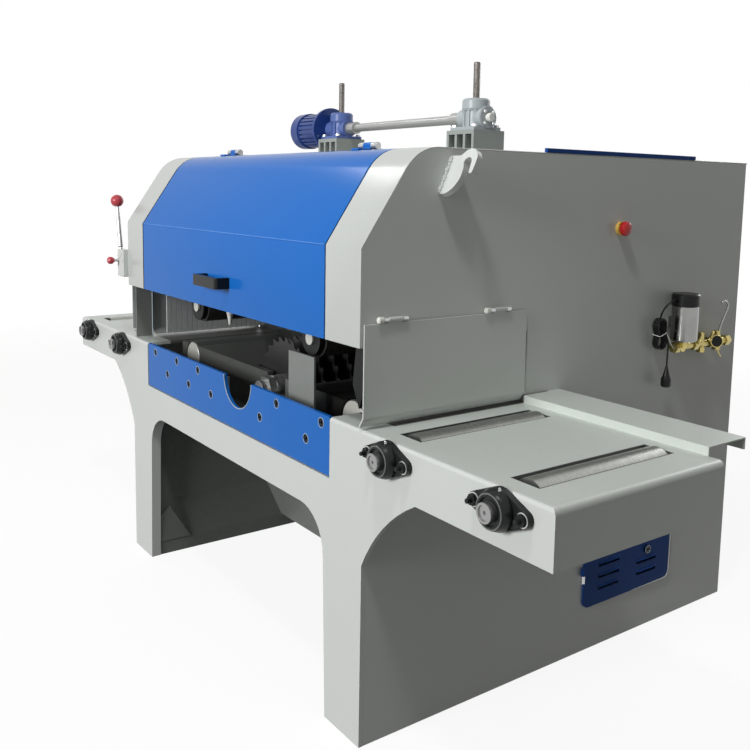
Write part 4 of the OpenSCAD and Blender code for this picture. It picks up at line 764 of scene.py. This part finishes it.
# %% End flange of the free gearbox
SHAFT_Z, BOSS_X = 1.541, 0.412
DISC = [(0.0125, 0.002), (0.017, 0.003), (0.030, 0.003), (0.0335, 0.001), (0.0335, -0.006),
    (0.0298, -0.008), (0.0125, -0.008), (0.0125, 0.002)]
hub = placed((BOSS_X, SCREW_Y, SHAFT_Z))[0]
SIDEWAYS = (1, 0, 0)
dressed(gathered("end_flange", [turned(DISC, hub, SIDEWAYS, 48)]), "frame", gear_paint)
ring_turn = np.radians([45, 135, 225, 315])
ring_at = [hub + (0.003, 0.0235 * math.cos(a), 0.0235 * math.sin(a)) for a in ring_turn]
SMALL_HEX = [(0.0, 0.005), (0.0045, 0.005), (0.0052, 0.004), (0.0052, 0.0), (0.0, 0.0)]
ring_bolts = [turned(SMALL_HEX, c, SIDEWAYS, 6) for c in ring_at]
dressed(gathered("end_flange_bolts", ring_bolts), "frame", bright_steel)

# %% Shaft plug, hinge pins' heads and bearing seals
PLUG = [(0.0, 0.019), (0.0105, 0.019), (0.0128, 0.0165), (0.0128, 0.009), (0.0122, 0.008),
    (0.0122, 0.003), (0.0, 0.003)]
dressed(gathered("shaft_plug", [turned(PLUG, hub, SIDEWAYS, 32)]), "frame", white_wire)
CAP = [(0.0, 0.014), (0.0055, 0.014), (0.0075, 0.012), (0.0075, 0.0), (0.0, 0.0)]
cap_at = [placed((s * 0.741, y, 1.034))[0] for s in (-1, 1) for y in (0.044, 0.373)]
caps = [turned(CAP, c, OUT, 24) for c in cap_at]
dressed(gathered("flap_hinge_caps", caps), "frame", white_wire)
SEAL = [(0.0322, 0.0), (0.0330, 0.0010), (0.0342, 0.0010), (0.0350, 0.0), (0.0322, 0.0)]
boss_at = [placed((x, -0.036, BORE_Z))[0] for x in ROLLER_X]
seals = [turned(SEAL, b, OUT, 40) for b in boss_at]
dressed(gathered("seal_rims", seals), "frame", seal_paint)

# %% [markdown]
# ## Long thin edges
# A sleeve swells the feed lever's rod towards its foot, and a strip in the darker vent blue edges the roof
# as painted shade. The door's fold and the outfeed post's edge carry a painted highlight, a line in a pale
# paint. Each is a tube or a profile along a straight path, and each rides on the body that it belongs to,
# so that it moves with the lever or the door.

# %% Lever sleeve
LEVER_FOOT = np.array((-0.778, -0.019, 1.040))
LEVER_BALL = np.array((-0.8185, -0.019, 1.2695))
share = np.linspace(0.275, 0.93, 24)[:, None]
sleeve_path = placed(*(LEVER_FOOT + share * (LEVER_BALL - LEVER_FOOT)))
sleeve = tube("lever_sleeve", sleeve_path, np.linspace(0.0085, 0.0066, 24), 24, lean=(0, 1, 0))
dressed(sleeve, "lever", bright_steel)

# %% Roof edge, door crease and the post's bright edge
EDGE = np.array([(0.7230, 1.4302), (0.7322, 1.4302), (0.7328, 1.4308), (0.7328, 1.4402),
    (0.7320, 1.4412), (0.7238, 1.4412), (0.7230, 1.4404)])
run_y = np.linspace(0.565, 1.200, 2) + FRONT_Y
edge_grid = np.stack(np.broadcast_arrays(EDGE[:, 0], run_y[:, None], EDGE[:, 1]), -1)
cover_edge = grid_piece("cover_edge", edge_grid, closed_v=True, caps=True)
cover_edge.data.polygons.foreach_set("use_smooth", np.zeros(len(cover_edge.data.polygons), bool))
# The roof's edge strip takes the darker vent blue: painted shade of its side away from the lamps
dressed(cover_edge, "frame", vent_gloss)
fold_x = np.linspace(-0.5795, 0.5795, 60)
crease = placed(*np.stack([fold_x, np.full(60, -0.0128), np.full(60, 1.198)], -1))
# A lighter blue tube on the fold: a painted highlight
dressed(tube("door_crease", crease, 0.0012, 8, lean=(0, 0, 1)), "hood_door", crease_painted_highlight)
post_z = np.linspace(0.781, 0.969, 9)
post_path = placed(*np.stack([np.full(9, -0.7257), np.full(9, 0.0725), post_z], -1))
# A pale tube on the post's edge: a painted highlight
dressed(tube("post_edge", post_path, 0.0022, 10), "frame", edge_wear_and_painted_highlight)

# %% [markdown]
# ## Mist nozzle
# A white nozzle hangs over the blades and wets them. It is a turned profile, and its feed pipe is a tube
# along a smooth curve from the chamber's back wall.

# %% Mist nozzle over the blades
NOZZLE = [(0.0, 0.0), (0.0035, 0.0), (0.0065, 0.016), (0.0085, 0.030), (0.0105, 0.032), (0.0105, 0.044),
    (0.0060, 0.048), (0.0, 0.048)]
tip = placed((-0.108, 0.080, 0.905))[0]
dressed(gathered("mist_nozzle", [turned(NOZZLE, tip, (0, 0, 1), 24)]), "frame", white_wire)
feed = smooth_path([(-0.108, 0.080, 0.950), (-0.108, 0.080, 0.985), (-0.108, 0.100, 1.010),
    (-0.108, 0.180, 1.018), (-0.108, 0.400, 1.018), (-0.108, 0.600, 1.018)])
dressed(tube("mist_pipe", placed(*feed), 0.004, 12), "frame", bright_steel)

# %% [markdown]
# ## Louvre lips on the vent door
# The slots of the vent door are pressed out of the sheet: above each slot a lip stands off like a small
# awning. Its section is a quarter ellipse, and it fades into the sheet at both ends of the slot.

# %% Louvre lips
VENT_X, VENT_Y, VENT_Z = 0.738, 0.779, 0.133
SLOT_Y, SLOT_Z, SLOT_L, SLOT_STEP = (0.063, 0.237), 0.047, 0.094, 0.035
LOCK_ROW = 2
s_along, s_round = np.meshgrid(np.linspace(0, 1, 25), np.linspace(0, 1, 9), indexing="ij")
swell = np.sin(math.pi * np.clip(s_along, 0.001, 0.999)) ** 0.3


def lip(column, row):
    """Lip of one slot: depth out of the sheet times the swell along the slot, and down over the slot."""
    stand = 0.0002 + 0.0034 * swell * np.sin(s_round * math.pi / 2)
    drop = 0.009 - 0.0048 * (1 - np.cos(s_round * math.pi / 2))
    y = VENT_Y + column + SLOT_L * (-0.02 + 1.04 * s_along)
    return np.stack([VENT_X + stand, y + FRONT_Y, VENT_Z + SLOT_Z + row * SLOT_STEP + drop], -1)


slots = [(c, r) for c in SLOT_Y for r in range(6) if c == SLOT_Y[0] or r != LOCK_ROW]
lips = gathered("louvre_lips", [lip(c, r) for c, r in slots], closed=False)
dressed(lips, "vent", vent_gloss)
thick = lips.modifiers.new("thickness", "SOLIDIFY")
thick.thickness = 0.0012
thick.offset = -1

# %% Bright edge and lock ring of the vent door
corner = np.linspace(0, math.pi / 2, 9)
edge_y = np.concatenate([np.full(12, 1.1768), 1.153 + 0.0238 * np.cos(corner),
    np.linspace(1.14, 1.0, 12)])
edge_z = np.concatenate([np.linspace(0.418, 0.165, 12), 0.157 - 0.0238 * np.sin(corner),
    np.full(12, 0.1332)])
edge_r = np.concatenate([np.full(21, 0.0022), np.linspace(0.0020, 0.0006, 12)])
edge_path = placed(*np.stack([np.full(33, VENT_X - 0.0004), edge_y, edge_z], -1))
# A white tube on the door's right edge and lower corner: a painted highlight
dressed(tube("vent_edge", edge_path, edge_r, 8), "vent", white_wire)
RING = [(0.0105, 0.0), (0.0110, 0.0008), (0.0122, 0.0008), (0.0127, 0.0), (0.0105, 0.0)]
lock_ring = gathered("lock_ring", [turned(RING, placed((0.7435, 1.062, 0.250))[0], SIDEWAYS, 32)])
dressed(lock_ring, "lock", edge_wear_and_painted_highlight)

# %% [markdown]
# ## Pump fittings
# Past the brass manifold a thin steel pipe rises and hooks over, another drips down, and a small gauge
# and two valve levers face the operator.

# %% Coolant and drip pipes
pipe_path = [(0.765, 1.326, 0.905), (0.767, 1.334, 0.930), (0.769, 1.350, 0.960), (0.770, 1.360, 0.982),
    (0.768, 1.356, 0.996), (0.765, 1.342, 1.000), (0.763, 1.336, 0.994)]
drip_path = [(0.765, 1.326, 0.852), (0.765, 1.328, 0.842), (0.767, 1.334, 0.832), (0.768, 1.340, 0.826)]
coolant_pipe = tube("coolant_pipe", placed(*smooth_path(pipe_path)), 0.0032, 10)
drip_pipe = tube("drip_pipe", placed(*smooth_path(drip_path)), 0.0025, 10)
dressed(coolant_pipe, "frame", polished_steel)
dressed(drip_pipe, "frame", machined_brass)

# %% Gauge and valve levers
GAUGE = [(0.0, 0.018), (0.015, 0.018), (0.0165, 0.020), (0.019, 0.020), (0.020, 0.018), (0.020, 0.003),
    (0.008, 0.0), (0.0, 0.0)]
BEZEL = [(0.0160, 0.0190), (0.0172, 0.0214), (0.0198, 0.0214), (0.0210, 0.0185), (0.0210, 0.0060),
    (0.0190, 0.0050), (0.0160, 0.0190)]
VALVE_LEVER = [(0.0, 0.034), (0.0035, 0.034), (0.0045, 0.030), (0.0035, 0.004), (0.007, 0.002),
    (0.007, -0.003), (0.0, -0.003)]
gauge_at = placed((0.772, 1.291, 0.880))[0]
GAUGE_WAY = (0.85, -0.5, 0.1)
dressed(gathered("gauge", [turned(GAUGE, gauge_at, GAUGE_WAY, 32)]), "frame", black_moulded)
dressed(gathered("gauge_bezel", [turned(BEZEL, gauge_at, GAUGE_WAY, 32)]), "frame", machined_brass)
lever_at = [placed((0.778, y, 0.888))[0] for y in (1.205, 1.262)]
valve_levers = [turned(VALVE_LEVER, at, (0.5, -0.3, 0.8), 12) for at in lever_at]
dressed(gathered("valve_levers", valve_levers), "frame", machined_brass)

# %% [markdown]
# ## Stage and light
# A plain pale floor runs up into a white background. One large soft lamp stands in front of the operator
# and a little above the hood, so it lights the front, grazes the infeed end and leaves that end to the
# fill from the world. To the eye and to mirrors the world is plain white; to all other rays it is dimmer.

# %% Floor
floor_side = 60.0
ends = np.array([-floor_side, floor_side])
floor_grid = np.stack([*np.meshgrid(ends, ends, indexing="ij"), np.zeros((2, 2))], -1)
floor = grid_piece("floor", floor_grid)
print("floor", 2 * floor_side, "m across")


# %% Finish of the floor
def seen_rays(tree):
    """One for rays that come from the eye, a mirror or glass, and nought for the rest."""
    rays = tree.nodes.new("ShaderNodeLightPath")
    mirror = math_node(tree, "MAXIMUM", rays.outputs["Is Glossy Ray"],
        rays.outputs["Is Transmission Ray"])
    return math_node(tree, "MAXIMUM", rays.outputs["Is Camera Ray"], mirror)


pale = bpy.data.materials.new("pale_floor")
pale.use_nodes = True
tree = pale.node_tree
base = tree.nodes["Principled BSDF"]
base.inputs["Base Color"].default_value = (0.15, 0.15, 0.15, 1)
base.inputs["Roughness"].default_value = 0.9
base.inputs["Specular IOR Level"].default_value = 0.0
base.inputs["Emission Color"].default_value = (1, 1, 1, 1)
# Near the machine the floor keeps room for its shadow, and far off it runs out to white
NEAR_LIFT, NEAR_EDGE, FAR_EDGE = 0.88, 3.0, 9.0
place = add(tree, "TexCoord")
reach = add(tree, "VectorMath", operation="LENGTH")
tree.links.new(place.outputs["Object"], reach.inputs[0])
fade = tree.nodes.new("ShaderNodeMapRange")
fade.interpolation_type = "SMOOTHSTEP"
fade.inputs["From Min"].default_value = NEAR_EDGE
fade.inputs["From Max"].default_value = FAR_EDGE
fade.inputs["To Min"].default_value = NEAR_LIFT
fade.inputs["To Max"].default_value = 1.0
tree.links.new(reach.outputs["Value"], fade.inputs["Value"])
# Under the closed cabinet the floor stays dark, so nothing shines out through the louvres
parts = add(tree, "SeparateXYZ")
tree.links.new(place.outputs["Object"], parts.inputs[0])
across = math_node(tree, "LESS_THAN", math_node(tree, "ABSOLUTE", parts.outputs[0]), 0.728)
behind = math_node(tree, "GREATER_THAN", parts.outputs[1], -0.095)
deep = math_node(tree, "MULTIPLY", behind, math_node(tree, "LESS_THAN", parts.outputs[1], 0.770))
open_floor = math_node(tree, "SUBTRACT", 1.0, math_node(tree, "MULTIPLY", across, deep))
lit = math_node(tree, "MULTIPLY", seen_rays(tree), open_floor)
tree.links.new(math_node(tree, "MULTIPLY", lit, fade.outputs["Result"]), base.inputs["Emission Strength"])
floor.data.materials.append(pale)
print("floor lift", NEAR_LIFT, "to", NEAR_EDGE, "m, then up to 1 at", FAR_EDGE, "m")

# %% World and lamps
FILL = 0.145
world = bpy.data.worlds.new("studio")
bpy.context.scene.world = world
world.use_nodes = True
tree = world.node_tree
back = tree.nodes["Background"]
seen = seen_rays(tree)
tree.links.new(mix_colour(tree, seen, (1.0, 0.985, 0.92, 1), (1, 1, 1, 1)), back.inputs["Color"])
strength = math_node(tree, "ADD", math_node(tree, "MULTIPLY", seen, 1 - FILL), FILL)
tree.links.new(strength, back.inputs["Strength"])


def lamp(name, at, aim, size, power):
    """A square area lamp at a point, turned to aim at another."""
    light = bpy.data.lights.new(name, "AREA")
    light.size = size
    light.energy = power
    holder = bpy.data.objects.new(name, light)
    holder.location = at
    holder.rotation_mode = "QUATERNION"
    holder.rotation_quaternion = (Vector(aim) - Vector(at)).to_track_quat("-Z", "Y")
    bpy.context.scene.collection.objects.link(holder)
    return holder


lamp("key", (0.7, -8.0, 3.1), (0, -0.6, 0.9), 2.4, 470)
lamp("overhead", (1.53, -1.76, 4.4), (0.75, -0.5, 1.2), 0.4, 38)
lamp("back", (-0.6, 8.0, 4.2), (0, 0.7, 0.9), 3.0, 230)
lamp("glint", (-3.4, -1.7, 4.2), (0.4, -0.4, 1.3), 0.35, 12)
bpy.context.scene.view_settings.view_transform = "Standard"
print("lamps", [light.name for light in bpy.data.lights])
